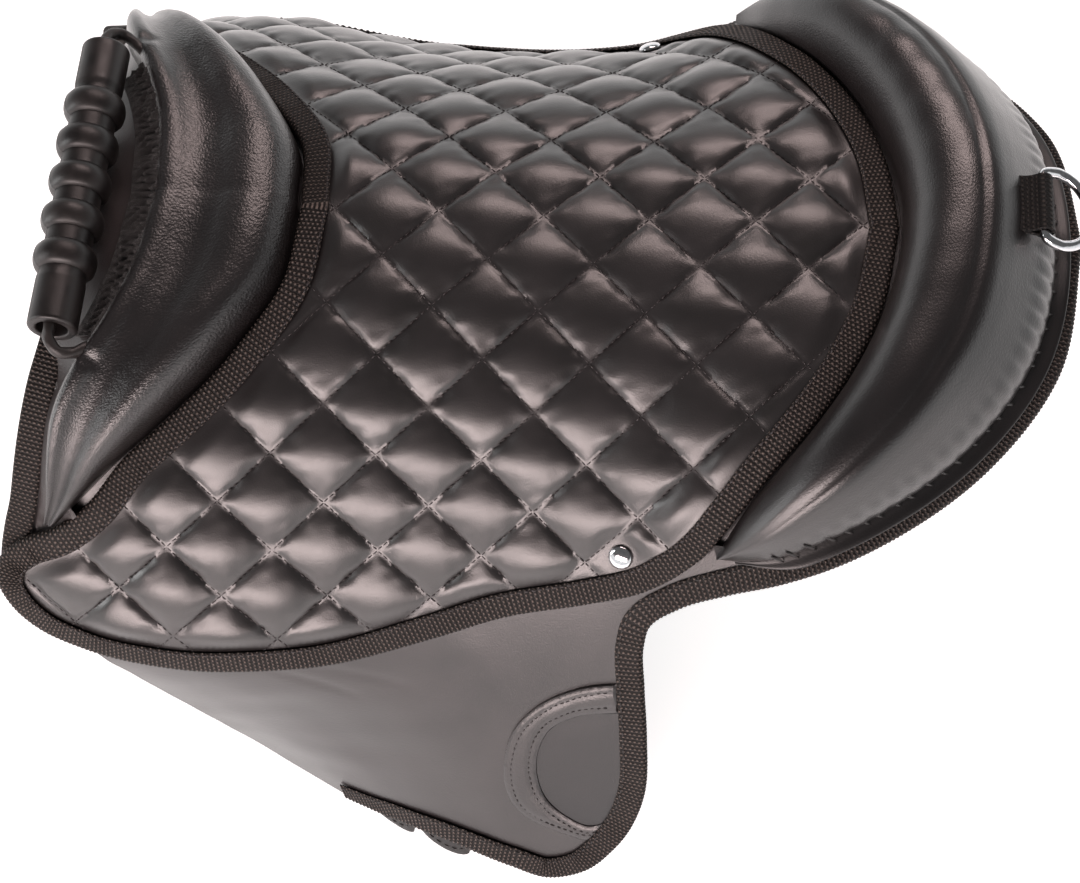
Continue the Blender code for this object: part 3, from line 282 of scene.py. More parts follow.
def lay(flat, foot=False):
    """Lay flat places over the back: the side's angle is integrated from the spine to s, and n
    is measured square to it."""
    flat = np.asarray(flat, float)
    shape = flat.shape
    flat = flat.reshape(-1, 3)
    nodes, weights = np.polynomial.legendre.leggauss(20)
    stations = np.array(BACK_STATIONS).T
    placed = np.empty_like(flat)
    for first in range(0, len(flat), 20000):
        x, s, n = flat[first:first + 20000].T
        along = s[:, None] * (nodes + 1.0) / 2.0
        angle = side_slope(np.repeat(x[:, None], len(nodes), 1), along, foot)
        across = s * (np.cos(angle) * weights).sum(1) / 2.0
        drop = s * (np.sin(angle) * weights).sum(1) / 2.0
        lean = side_slope(x, s, foot)
        rise = through(stations[0], stations[1], x)
        placed[first:first + 20000] = np.stack([x - MIDDLE_X, across + n * np.sin(lean),
                                                rise - drop + n * np.cos(lean) + FLOOR_DROP], 1)
    return placed.reshape(shape)


def way_along(path, closed=False):
    """Distance run at each point of a path."""
    line = np.concatenate([path, path[:1]]) if closed else path
    return np.concatenate([[0.0], np.cumsum(np.linalg.norm(np.diff(line, axis=0), axis=1))])


def curve(points, spacing):
    """Smooth curve through the points with points about `spacing` apart along it."""
    points = np.asarray(points, float)
    reach = way_along(points)
    fine = np.linspace(0.0, reach[-1], 40 * len(points))
    line = np.stack([through(reach, points[:, k], fine) for k in range(points.shape[1])], 1)
    length = way_along(line)
    count = max(2, int(round(length[-1] / spacing)) + 1)
    at = np.interp(np.linspace(0.0, length[-1], count), length, fine)
    return np.stack([through(reach, points[:, k], at) for k in range(points.shape[1])], 1)


def both_sides(near_half):
    """Mirror a half outline, from spine to spine on the near side, into a closed loop."""
    return np.concatenate([near_half, near_half[1:-1][::-1] * (1.0, -1.0)])


def mirrored(path):
    """The same path on the far side, run so that its left is still inwards."""
    return path[::-1] * np.array((1.0, -1.0, 1.0))[:path.shape[1]]


def leftward(path, closed):
    """Unit sideways direction at each point of a flat path, left of its run."""
    path = path[:, :2]
    if closed:
        run = np.roll(path, -1, 0) - np.roll(path, 1, 0)
    else:
        run = np.gradient(path, axis=0)
    run = run / np.linalg.norm(run, axis=1)[:, None]
    return np.stack([-run[:, 1], run[:, 0]], 1)


def inset(path, distance, closed=True):
    """Move a flat path to its left."""
    moved = path.copy()
    moved[:, :2] += leftward(path, closed) * distance
    return moved


def inside(loop, x, s):
    """Whether flat places lie inside a closed loop, by counting the edges that a ray crosses."""
    start, end = loop[:, :2], np.roll(loop[:, :2], -1, 0)
    crossings = np.zeros(np.shape(x), int)
    for (ax, ay), (bx, by) in zip(start, end):
        if ay != by:
            crossings += ((ay > s) != (by > s)) & (x < ax + (s - ay) * (bx - ax) / (by - ay))
    return crossings % 2 == 1


def distance_to(loop, x, s, closed=True):
    """Distance of flat places from a path: the least over its straight edges."""
    end = np.roll(loop[:, :2], -1, 0) if closed else loop[1:, :2]
    least = np.full(np.shape(x), 1e9)
    for (ax, ay), (bx, by) in zip(loop[:, :2], end):
        rx, ry = bx - ax, by - ay
        along = np.clip(((x - ax) * rx + (s - ay) * ry) / max(rx * rx + ry * ry, 1e-18), 0.0, 1.0)
        least = np.minimum(least, np.hypot(x - ax - along * rx, s - ay - along * ry))
    return least


def bell(off, width):
    """Bell curve of a distance: 1 at 0 and close to 0 beyond twice the width."""
    return np.exp(-(off / width) ** 2)


def arc(first, last, count):
    """Points of a unit circle between two angles in degrees."""
    turn = np.radians(np.linspace(first, last, count))
    return np.stack([np.cos(turn), np.sin(turn)], 1)


def round_angles(count):
    """Angles that divide a full turn evenly, in radians."""
    return np.arange(count) * 2 * math.pi / count


def signed_area(loop):
    """Area of a flat loop by the shoelace sum, below 0 if it runs clockwise."""
    run = np.roll(loop, -1, 0)
    return (loop[:, 0] * run[:, 1] - loop[:, 1] * run[:, 0]).sum() / 2


def ripple(x, y, z, seed, size):
    """Smooth noise between about -1 and 1: a sum of six plane waves of about one wavelength."""
    source = np.random.default_rng(seed)
    total = 0.0
    for _ in range(6):
        way = source.normal(size=3)
        way = way / np.linalg.norm(way) * source.uniform(0.7, 1.4) * 2 * math.pi / size
        total = total + np.sin(x * way[0] + y * way[1] + z * way[2] + source.uniform(0, 2 * math.pi))
    return total / 2.6


def linear(code):
    """Linear colour, with alpha, of an sRGB hex code."""
    parts = [int(code[k:k + 2], 16) / 255 for k in (1, 3, 5)]
    return (*(c / 12.92 if c <= 0.04045 else ((c + 0.055) / 1.055) ** 2.4 for c in parts), 1.0)


def add(tree, kind, inputs=None, out=0, stops=None, **settings):
    """Add a shader node with its settings and links, and give one of its outputs.

    inputs maps a socket's name or place to a value or to another node's output; stops are the
    (place, colour) pairs of a ramp.
    """
    made = tree.nodes.new("ShaderNode" + kind)
    for key, value in settings.items():
        setattr(made, key, value)
    for key, value in (inputs or {}).items():
        if isinstance(value, bpy.types.NodeSocket):
            tree.links.new(value, made.inputs[key])
        else:
            made.inputs[key].default_value = value
    for k, (place, colour) in enumerate(stops or ()):
        line = made.color_ramp.elements
        element = line[k] if k < len(line) else line.new(place)
        element.position, element.color = place, linear(colour)
    return made.outputs[out] if len(made.outputs) else None


def new_material(name, constants):
    """Principled material with its constant sockets set; gives it, its tree and its shader."""
    made = bpy.data.materials.new(name)
    made.use_nodes = True
    shader = made.node_tree.nodes["Principled BSDF"]
    for key, value in constants.items():
        shader.inputs[key].default_value = value
    return made, made.node_tree, shader


def wired(made, shader, outputs):
    """Link outputs to the sockets of a material's shader, and give the material."""
    for key, value in outputs.items():
        made.node_tree.links.new(value, shader.inputs[key])
    return made


def leather(name, dark, light, rough, grain_mm, depth_mm, crease, coat=0.8):
    """Coated leather-cloth, pressed with a grain of pebbles under a thin satin coat.

    The pebbles are a Voronoi bump of the grain's size and finer noise breaks them up; wider
    noise lays soft creases between them, and slow noise makes the coat duller and paler where
    it has been handled.
    """
    made, tree, shader = new_material(name, {"Coat Weight": coat, "Coat Roughness": rough - 0.06})
    source = add(tree, "TexCoord", out="UV")
    grain = 1.0 / (grain_mm * MM)
    cells = add(tree, "TexVoronoi", {"Vector": source, "Scale": grain, "Randomness": 0.95})
    fine = add(tree, "TexNoise", {"Vector": source, "Scale": grain * 2.2, "Detail": 3.0})
    folds = add(tree, "TexNoise", {"Vector": source, "Scale": grain / 7, "Detail": 5.0, "Distortion": 1.2})
    slow = add(tree, "TexNoise", {"Vector": source, "Scale": 1.0 / (34 * MM), "Detail": 4.0})
    height = add(tree, "Math", {0: fine, 1: 0.55, 2: 0.0}, operation="MULTIPLY_ADD")
    height = add(tree, "Math", {0: height, 1: cells}, operation="SUBTRACT")
    height = add(tree, "Math", {0: folds, 1: crease, 2: height}, operation="MULTIPLY_ADD")
    bump = add(tree, "Bump", {"Height": height, "Strength": 0.55, "Distance": depth_mm * MM})
    colour = add(tree, "ValToRGB", {"Fac": slow}, stops=((0.30, dark), (0.78, light)))
    worn = add(tree, "MapRange", {"Value": slow, "From Min": 0.3, "From Max": 0.7,
                                  "To Min": rough - 0.04, "To Max": rough + 0.06})
    return wired(made, shader, {"Base Color": colour, "Roughness": worn, "Normal": bump, "Coat Normal": bump})


def webbing(name, dark, light, rib_mm=2.0, thread_mm=2.1):
    """Woven polypropylene tape: cords run across it and are bound by threads along it.

    The map's u runs along the tape and v across it, in metres. A wave along u gives the ribs,
    and a wave along v, set over by half a thread on each second rib, gives the binding threads.
    The paler colour is a painted highlight: it lies on the crests, where both waves stand
    highest, broken up by fine noise.
    """
    made, tree, shader = new_material(name, {"Roughness": 0.55, "Specular IOR Level": 0.25})
    source = add(tree, "TexCoord", out="UV")
    split = add(tree, "SeparateXYZ", {"Vector": source}).node
    wobble = add(tree, "TexNoise", {"Vector": source, "Scale": 1.0 / (2.6 * MM), "Detail": 2.0})
    fuzz = add(tree, "TexNoise", {"Vector": source, "Scale": 1.0 / (0.7 * MM), "Detail": 3.0})
    along = add(tree, "Math", {0: split.outputs["X"], 1: 1.0 / (rib_mm * MM)}, operation="MULTIPLY")
    across = add(tree, "Math", {0: split.outputs["Y"], 1: 1.0 / (thread_mm * MM)}, operation="MULTIPLY")
    row = add(tree, "Math", {0: along}, operation="FLOOR")
    row = add(tree, "Math", {0: row, 1: 2.0}, operation="FLOORED_MODULO")
    across = add(tree, "Math", {0: row, 1: 0.5, 2: across}, operation="MULTIPLY_ADD")
    waves = []
    for way in (along, across):
        turn = add(tree, "Math", {0: way, 1: 2 * math.pi, 2: wobble}, operation="MULTIPLY_ADD")
        wave = add(tree, "Math", {0: turn}, operation="SINE")
        waves.append(add(tree, "Math", {0: wave, 1: 0.5, 2: 0.5}, operation="MULTIPLY_ADD"))
    both = add(tree, "Math", {0: waves[0], 1: waves[1]}, operation="MULTIPLY")
    height = add(tree, "Math", {0: both, 1: fuzz}, operation="ADD")
    bump = add(tree, "Bump", {"Height": height, "Strength": 0.9, "Distance": 0.45 * MM})
    # Painted highlight: the colour turns paler on the weave's crests, where both waves are highest, broken up by fine
    # noise.
    crest_highlight = add(tree, "Math", {0: both, 1: fuzz}, operation="MULTIPLY")
    colour = add(tree, "ValToRGB", {"Fac": crest_highlight}, stops=((0.10, dark), (0.52, light)))
    return wired(made, shader, {"Base Color": colour, "Normal": bump})


def sewing_thread(name, colour):
    """Bonded polyester sewing thread: fine twist, with a slight gloss from its bonding."""
    made, tree, shader = new_material(name, {"Base Color": linear(colour), "Roughness": 0.42})
    twist = add(tree, "TexNoise", {"Vector": add(tree, "TexCoord", out="UV"), "Scale": 1.0 / (0.5 * MM)})
    bump = add(tree, "Bump", {"Height": twist, "Strength": 0.5, "Distance": 0.15 * MM})
    return wired(made, shader, {"Normal": bump})


def rubber(name, dark, light):
    """Moulded natural rubber: smooth from the mould, dulled by handling and a little dust."""
    made, tree, shader = new_material(name, {"IOR": 1.52})
    source = add(tree, "TexCoord", out="Object")
    dust = add(tree, "TexNoise", {"Vector": source, "Scale": 1.0 / (9 * MM), "Detail": 6.0})
    fine = add(tree, "TexNoise", {"Vector": source, "Scale": 1.0 / (0.8 * MM), "Detail": 3.0})
    colour = add(tree, "ValToRGB", {"Fac": dust}, stops=((0.35, dark), (0.75, light)))
    rough = add(tree, "MapRange", {"Value": dust, "From Min": 0.3, "From Max": 0.7,
                                   "To Min": 0.34, "To Max": 0.50})
    bump = add(tree, "Bump", {"Height": fine, "Strength": 0.35, "Distance": 0.12 * MM})
    return wired(made, shader, {"Base Color": colour, "Roughness": rough, "Normal": bump})


def chromed_steel(name):
    """Chromed steel: polished, with hairline wear that clouds the mirror slightly."""
    made, tree, shader = new_material(name, {"Metallic": 1.0})
    source = add(tree, "TexCoord", out="Object")
    hair = add(tree, "TexNoise", {"Vector": source, "Scale": 1.0 / (1.6 * MM), "Detail": 4.0})
    colour = add(tree, "ValToRGB", {"Fac": hair}, stops=((0.3, "#cfd0d4"), (0.7, "#ececee")))
    rough = add(tree, "MapRange", {"Value": hair, "To Min": 0.05, "To Max": 0.14})
    return wired(made, shader, {"Base Color": colour, "Roughness": rough})


def felted(name, dark, light, size_mm):
    """Felt or fleece-backed cloth: short fibres lying every way, with no gloss."""
    made, tree, shader = new_material(name, {"Roughness": 0.95, "Specular IOR Level": 0.2,
                                             "Sheen Weight": 0.15})
    source = add(tree, "TexCoord", out="UV")
    fibre = add(tree, "TexNoise", {"Vector": source, "Scale": 1.0 / (size_mm * MM), "Detail": 6.0,
                                   "Roughness": 0.8, "Distortion": 1.5})
    colour = add(tree, "ValToRGB", {"Fac": fibre}, stops=((0.3, dark), (0.75, light)))
    bump = add(tree, "Bump", {"Height": fibre, "Strength": 0.9, "Distance": 0.5 * MM})
    return wired(made, shader, {"Base Color": colour, "Normal": bump})


def fill_mesh(name, points, faces, material, corners=None, edge=38.0):
    """Object at the origin from points and faces of three or four corners; corners is the flat
    map in metres, one pair to a face corner or one to a point. Edges sharper than `edge` stay."""
    mesh = bpy.data.meshes.new(name)
    sizes = np.concatenate([np.full(len(f), f.shape[1]) for f in faces])
    loops = np.concatenate([f.ravel() for f in faces]).astype(np.int32)
    mesh.vertices.add(len(points))
    mesh.vertices.foreach_set("co", np.ascontiguousarray(points, np.float32).ravel())
    mesh.loops.add(len(loops))
    mesh.loops.foreach_set("vertex_index", loops)
    mesh.polygons.add(len(sizes))
    mesh.polygons.foreach_set("loop_start", np.concatenate([[0], np.cumsum(sizes)[:-1]]).astype(np.int32))
    mesh.update(calc_edges=True)
    mesh.validate()
    if corners is not None:
        corners = np.asarray(corners, float).reshape(-1, 2)
        if len(corners) == len(points):
            corners = corners[loops]
        layer = mesh.uv_layers.new(name="flat")
        layer.data.foreach_set("uv", corners.astype(np.float32).ravel())
    mesh.shade_smooth()
    mesh.set_sharp_from_angle(angle=math.radians(edge))
    mesh.materials.append(material)
    made = bpy.data.objects.new(name, mesh)
    bpy.context.scene.collection.objects.link(made)
    return made


def flat_map(along, around):
    """Map of a grid in metres, from the way along it and the way round it."""
    return np.stack(np.meshgrid(along, around, indexing="ij"), -1)


def skin(name, grid, material, closed=False, flat=None, edge=38.0):
    """Skin over a grid of points, rows along the piece and columns round its closed section.

    `closed` joins the last row to the first; otherwise one face closes each end. flat gives a
    map for the grid, in metres.
    """
    rows, columns = grid.shape[:2]
    i = np.arange(rows if closed else rows - 1)
    i, j = np.meshgrid(i, np.arange(columns), indexing="ij")
    i, j = i.ravel(), j.ravel()
    ni, nj = (i + 1) % rows, (j + 1) % columns
    faces = [np.stack([i * columns + j, ni * columns + j, ni * columns + nj, i * columns + nj], 1)]
    if flat is None:
        flat = flat_map(way_along(grid[:, 0], True), way_along(grid[rows // 2], True))
    corners = [np.stack([flat[i, j], flat[i + 1, j], flat[i + 1, j + 1], flat[i, j + 1]], 1).reshape(-1, 2)]
    if not closed:
        k = np.arange(columns)
        for row, turn in ((0, 1), (rows - 1, -1)):
            faces.append((row * columns + k)[None, ::turn])
            corners.append(flat[row, k[::turn]])
    return face_outward(fill_mesh(name, grid.reshape(-1, 3), faces, material, np.concatenate(corners), edge))


def face_outward(made):
    """Turn every face of a closed piece outwards."""
    form = bmesh.new()
    form.from_mesh(made.data)
    bmesh.ops.recalc_face_normals(form, faces=form.faces)
    form.to_mesh(made.data)
    form.free()
    return made


def dress(made, body, slot_name, *nodes):
    """Ride a finished piece on its body and hide the solids it stands for."""
    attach(made, body)
    if nodes:
        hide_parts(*nodes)
    return made


def within(faces, borders):
    """Triangles between the loops: borders says of each directed edge whether its left is in."""
    owner = {}
    for k, face in enumerate(faces):
        for edge in zip(face, (*face[1:], face[0])):
            owner[edge] = k
    state = {}
    for (a, b), is_in in borders.items():
        for edge, value in (((a, b), is_in), ((b, a), not is_in)):
            if edge in owner:
                state[owner[edge]] = value
    waiting = list(state)
    while waiting:
        face = faces[waiting[-1]]
        value = state[waiting.pop()]
        for a, b in zip(face, (*face[1:], face[0])):
            beyond = owner.get((b, a))
            if (a, b) in borders or (b, a) in borders or beyond is None or beyond in state:
                continue
            state[beyond] = value
            waiting.append(beyond)
    return [face for k, face in enumerate(faces) if state.get(k)]


def triangulate(points, borders):
    """Delaunay triangles of flat points that keep the borders and lie between them."""
    made = delaunay_2d_cdt([Vector(point) for point in points], list(borders), [], 0, 1e-9)
    source = [found[0] for found in made[3]]
    faces = [tuple(source[k] for k in face) for face in made[2]]
    return np.array(within(faces, borders), int).reshape(-1, 3)


def loop_borders(loops):
    """Directed edges of outlines, whose points follow one another; the first is the outer one."""
    borders = {}
    first = 0
    for k, loop in enumerate(loops):
        forward = (signed_area(loop) > 0) == (k == 0)
        for a in range(len(loop)):
            borders[(first + a, first + (a + 1) % len(loop))] = forward
        first += len(loop)
    return borders


def lattice_face(loops, x, s, cell):
    """Points and faces of a flat face: whole lattice cells inside, triangles out to its loops.

    x and s are the lattice's places on a grid. Cells with all corners more than 0.7 of a cell
    inside are kept whole, and the ring between them and the outlines is triangulated.
    """
    edge = sum(len(loop) for loop in loops)
    keep = inside(loops[0], x, s) & (distance_to(loops[0], x, s) > 0.7 * cell)
    for loop in loops[1:]:
        keep &= ~inside(loop, x, s) & (distance_to(loop, x, s) > 0.7 * cell)
    whole = keep[:-1, :-1] & keep[1:, :-1] & keep[1:, 1:] & keep[:-1, 1:]
    for _ in range(4):
        pad = np.pad(whole, 1)
        a, b, c, d = pad[:-1, :-1], pad[1:, :-1], pad[1:, 1:], pad[:-1, 1:]
        pinched = (a & c & ~b & ~d) | (b & d & ~a & ~c)
        if not pinched.any():
            break
        whole &= ~(pinched[:-1, :-1] | pinched[1:, :-1] | pinched[1:, 1:] | pinched[:-1, 1:])
    index = np.full(x.shape, -1)
    used = np.zeros(x.shape, bool)
    for slide in ((slice(0, -1), slice(0, -1)), (slice(1, None), slice(0, -1)),
                  (slice(1, None), slice(1, None)), (slice(0, -1), slice(1, None))):
        used[slide] |= whole
    index[used] = edge + np.arange(used.sum())
    points = np.concatenate([*[loop[:, :2] for loop in loops], np.stack([x[used], s[used]], 1)])
    quads = np.stack([index[:-1, :-1][whole], index[1:, :-1][whole], index[1:, 1:][whole],
                      index[:-1, 1:][whole]], 1)
    if signed_area(points[quads[0]]) < 0:
        quads = quads[:, ::-1]
    runs = np.concatenate([quads[:, [k, (k + 1) % 4]] for k in range(4)])
    both = set(map(tuple, runs.tolist()))
    rim = [(a, b) for a, b in both if (b, a) not in both]
    borders = loop_borders(loops)
    borders.update({edge_of: False for edge_of in rim})
    names = sorted({k for pair in borders for k in pair})
    place = {k: n for n, k in enumerate(names)}
    ring = triangulate(points[names], {(place[a], place[b]): v for (a, b), v in borders.items()})
    return points, quads, np.array(names)[ring]


def laid_sheet(name, loops, cell, high, low, material, foot=False, bottom_cell=0.012, lattice=None,
               below=None, sharp=38.0):
    """Sheet with a fine lattice on its upper face, laid over the back.

    high(x, s) and low(x, s) give the height of the faces; the lower face is coarser. lattice and
    below give the places of the two lattices, else they are square and lie over the outline.
    """
    x, s = lattice or square_lattice(loops[0], cell)
    points, quads, ring = lattice_face(loops, x, s, cell)
    edge = sum(len(loop) for loop in loops)
    bx, bs = below or np.meshgrid(np.arange(x.min(), x.max(), bottom_cell),
                                  np.arange(s.min(), s.max(), bottom_cell))
    use = inside(loops[0], bx, bs) & (distance_to(loops[0], bx, bs) > 0.5 * bottom_cell)
    for loop in loops[1:]:
        use &= ~inside(loop, bx, bs) & (distance_to(loop, bx, bs) > 0.5 * bottom_cell)
    under = np.concatenate([points[:edge], np.stack([bx[use], bs[use]], 1)])
    under_faces = triangulate(under, loop_borders(loops))
    rim = []
    first = 0
    for k, loop in enumerate(loops):
        a = first + np.arange(len(loop))
        b = first + (np.arange(len(loop)) + 1) % len(loop)
        if (signed_area(loop) > 0) != (k == 0):
            a, b = b, a
        rim.append(np.stack([b, a, len(points) + a, len(points) + b], 1))
        first += len(loop)
    flat = np.concatenate([np.column_stack([points, high(*points.T)]),
                           np.column_stack([under, low(*under.T)])])
    faces = [quads, np.concatenate(rim), ring, under_faces[:, ::-1] + len(points)]
    placed = lay(flat, foot)
    placed[:, 2] = np.maximum(placed[:, 2], 0.0)
    return face_outward(fill_mesh(name, placed, faces, material, flat[:, :2], sharp))


def square_lattice(outline, cell):
    """Lattice places of a square grid over an outline."""
    low, high = outline[:, :2].min(0), outline[:, :2].max(0)
    return np.meshgrid(np.arange(low[0], high[0] + cell, cell), np.arange(low[1], high[1] + cell, cell),
                       indexing="ij")


def level(height):
    """Face at one height."""
    return lambda x, s: np.full(np.shape(x), height)


def round_centre(angle, radius):
    """Flat place at an angle in degrees and a radius about the cantle's centre, near side."""
    turn = np.radians(angle)
    return np.stack([CANTLE_CENTRE + radius * np.cos(turn), -radius * np.sin(turn)], -1)


def seat_edge(spacing):
    """Visible edge of the seat: round the pommel, down the tips and along the cantle."""
    side = np.array(POMMEL_SIDE[:6])
    front = np.stack([np.array(POMMEL_REAR[:6]) + SEAT_CLEARANCE, -side], 1)
    rear = round_centre(np.array(CANTLE_ANGLES[5::-1]), np.array(CANTLE_INNER[5::-1]) - SEAT_CLEARANCE)
    return both_sides(curve(np.concatenate([front, SEAT_TIP, rear]), spacing))


def seam_count(x, s):
    """Flat places as counts of seams (a, b): a is whole on each seam of one way and b of the other."""
    return (x / DIAMOND_X + s / DIAMOND_S) / 2.0, (x / DIAMOND_X - s / DIAMOND_S) / 2.0


def quilt_crown(x, s):
    """Share of a diamond's crown: |sin(pi a) sin(pi b)|^0.62, zero on the seams a, b = whole."""
    a, b = seam_count(x, s)
    return np.abs(np.sin(math.pi * a) * np.sin(math.pi * b)) ** 0.62


def seam_offset(x, s):
    """Distance from the nearest seam and place along it in stitches."""
    a, b = seam_count(x, s)
    side = math.hypot(DIAMOND_X, DIAMOND_S)
    off_a, off_b = np.abs(a - np.round(a)), np.abs(b - np.round(b))
    along = np.where(off_a < off_b, b, a) * STITCHES
    return np.minimum(off_a, off_b) * side, along


def seat_top(edge):
    """Height of the quilted face: crowns, pulled down at each needle hole, gathered by slow
    waves near the seams, and pressed flat under the tape and round the rivets."""
    def height(x, s):
        rim = distance_to(edge, x, s)
        fade = smooth((rim - TAPE_WIDTH + QUILT_EDGE) / QUILT_RISE)
        rivet = np.hypot(x - RIVET_X, np.abs(s) - RIVET_S)
        fade = fade * smooth((rivet - RIVET_FLAT) / RIVET_RISE)
        crown = quilt_crown(x, s)
        off, along = seam_offset(x, s)
        hole = np.cos(2 * math.pi * along)
        pull = bell(off, SEAM_PULL)
        gather = ripple(x, s, 0.0, 5, 0.009) * bell(off, 0.006) * GATHER_LIFT
        uneven = 1.0 + PUFF_SPREAD * ripple(x, s, 0.0, 3, 0.055)
        rise = SEAT_PUFF * crown * fade * uneven + gather * fade
        return SEAT_STITCH + rise - (SEAM_DEPTH + HOLE_DEPTH * hole) * pull * fade
    return height


def build_seat(finish):
    """Quilted seat leaf on a lattice turned with the seams, so that each seam and each needle
    hole lies on its lines."""
    edge = seat_edge(0.004)
    outline = inset(edge, EDGE_GAP + TAPE)
    step = np.arange(-SEAMS * STITCHES * 2, SEAMS * STITCHES * 2 + 1) / (2.0 * STITCHES)
    a, b = np.meshgrid(step, step, indexing="ij")
    x, s = DIAMOND_X * (a + b), DIAMOND_S * (a - b)
    near = (np.abs(x) < 0.24) & (np.abs(s) < 0.23)
    x, s = np.where(near, x, 9.0), np.where(near, s, 9.0)
    rows, columns = np.where(near.any(1))[0], np.where(near.any(0))[0]
    held = slice(rows[0], rows[-1] + 1), slice(columns[0], columns[-1] + 1)
    below = np.meshgrid(np.arange(-0.2, 0.21, 0.012), np.arange(-0.22, 0.22, 0.012))
    leaf = laid_sheet("quilted_seat", [outline], 0.0016, seat_top(edge), level(SEAT_BOTTOM), finish["quilt"],
                      lattice=(x[held], s[held]), below=below, sharp=SOFT_EDGE)
    dress(leaf, "saddle", "quilted_leather", "seat_leaf")


def sew(name, starts, ends, radius, rise, material, sink=0.00025):
    """Stitches from starts to ends, flat places: each a five-sided bead that dips at its ends.

    A stitch's middle line is a straight run whose height follows a half sine of `rise`.
    """
    starts, ends = np.asarray(starts, float), np.asarray(ends, float)
    count = len(starts)
    run = ends[:, :2] - starts[:, :2]
    length = np.linalg.norm(run, axis=1)
    ahead = run / length[:, None]
    aside = np.stack([-ahead[:, 1], ahead[:, 0]], 1)
    places = np.array((0.04, 0.25, 0.5, 0.75, 0.96))
    girth = np.array((0.45, 1.0, 1.0, 1.0, 0.45)) * radius
    turn = round_angles(5)
    grid = np.empty((count, 5, 5, 3))
    for k, (t, size) in enumerate(zip(places, girth)):
        middle = starts + (ends - starts) * t
        middle[:, 2] += rise * math.sin(math.pi * t) - sink * (1 - math.sin(math.pi * t))
        across = size * np.cos(turn)
        grid[:, k, :, 0] = middle[:, :1] + aside[:, :1] * across
        grid[:, k, :, 1] = middle[:, 1:2] + aside[:, 1:2] * across
        grid[:, k, :, 2] = middle[:, 2:] + size * np.sin(turn)
    base = np.arange(count)[:, None] * 25
    faces = []
    for k in range(4):
        for j in range(5):
            m = (j + 1) % 5
            faces.append(np.concatenate([base + k * 5 + j, base + k * 5 + m, base + k * 5 + 5 + m,
                                         base + k * 5 + 5 + j], 1))
    caps = [np.concatenate([base + j for j in (0, 4, 3, 2, 1)], 1),
            np.concatenate([base + 20 + j for j in range(5)], 1)]
    made = fill_mesh(name, lay(grid.reshape(-1, 3)), [np.concatenate(faces), np.concatenate(caps)],
                     material, grid.reshape(-1, 3)[:, :2], STITCH_EDGE)
    return face_outward(made)


def stitch_line(path, pitch, gap=0.12, height=0.0, jitter=0.0, seed=1):
    """Starts and ends of stitches along a flat path, a pitch apart with a short gap between."""
    length = way_along(path[:, :2])
    count = int(length[-1] / pitch)
    first = (np.arange(count) + gap / 2) * pitch
    last = (np.arange(count) + 1 - gap / 2) * pitch
    source = np.random.default_rng(seed)
    ends = []
    for at in (first, last):
        place = np.stack([np.interp(at, length, path[:, k]) for k in range(2)], 1)
        place += source.normal(size=place.shape) * jitter
        ends.append(np.column_stack([place, np.full(count, height)]))
    return ends


def sew_quilt(finish):
    """The quilting thread: ten stitches to a diamond's side, on every seam inside the tape."""
    edge = seat_edge(0.004)
    source = np.random.default_rng(11)
    starts, ends = [], []
    whole = np.arange(-SEAMS, SEAMS + 1)
    step = np.arange(-SEAMS * STITCHES, SEAMS * STITCHES) / STITCHES
    for swap in (False, True):
        a, b = np.meshgrid(whole, step, indexing="ij")
        a, b = a.ravel(), b.ravel()
        for first, second, out in ((a, b + 0.10 / STITCHES, starts), (a, b + 0.90 / STITCHES, ends)):
            u, v = (second, first) if swap else (first, second)
            out.append(np.stack([DIAMOND_X * (u + v), DIAMOND_S * (u - v)], 1))
    starts, ends = np.concatenate(starts), np.concatenate(ends)
    middle = (starts + ends) / 2
    box = (np.abs(middle[:, 0]) < 0.2) & (np.abs(middle[:, 1]) < 0.22)
    starts, ends, middle = starts[box], ends[box], middle[box]
    keep = inside(edge, *middle.T) & (distance_to(edge, *middle.T) > TAPE_WIDTH - 0.0005)
    keep &= np.hypot(middle[:, 0] - RIVET_X, np.abs(middle[:, 1]) - RIVET_S) > RIVET_FLAT
    starts, ends = starts[keep], ends[keep]
    side = source.normal(size=starts.shape) * 0.00010
    lift = np.full((len(starts), 1), SEAT_STITCH)
    made = sew("quilting_thread", np.concatenate([starts + side, lift], 1),
               np.concatenate([ends + side[::-1], lift], 1), 0.00027, 0.00022, finish["thread"])
    dress(made, "saddle", "webbing")


def build_seat_tape(finish):
    """Tape round the whole edge of the seat, and the stitches that hold it to the quilting."""
    edge = seat_edge(0.0006)[:-1]
    made = tape("seat_tape", edge, SEAT_BOTTOM, SEAT_STITCH, finish["tape"], True)
    dress(made, "saddle", "webbing", "seat_binding")
    line = inset(edge, TAPE_WIDTH - 0.0006)
    starts, ends = stitch_line(np.concatenate([line, line[:1]]), 0.0032, 0.2, SEAT_STITCH + EDGE_GAP + TAPE,
                               0.00010, 13)
    dress(sew("seat_tape_stitches", starts, ends, 0.00036, 0.00028, finish["thread"]), "saddle", "webbing")


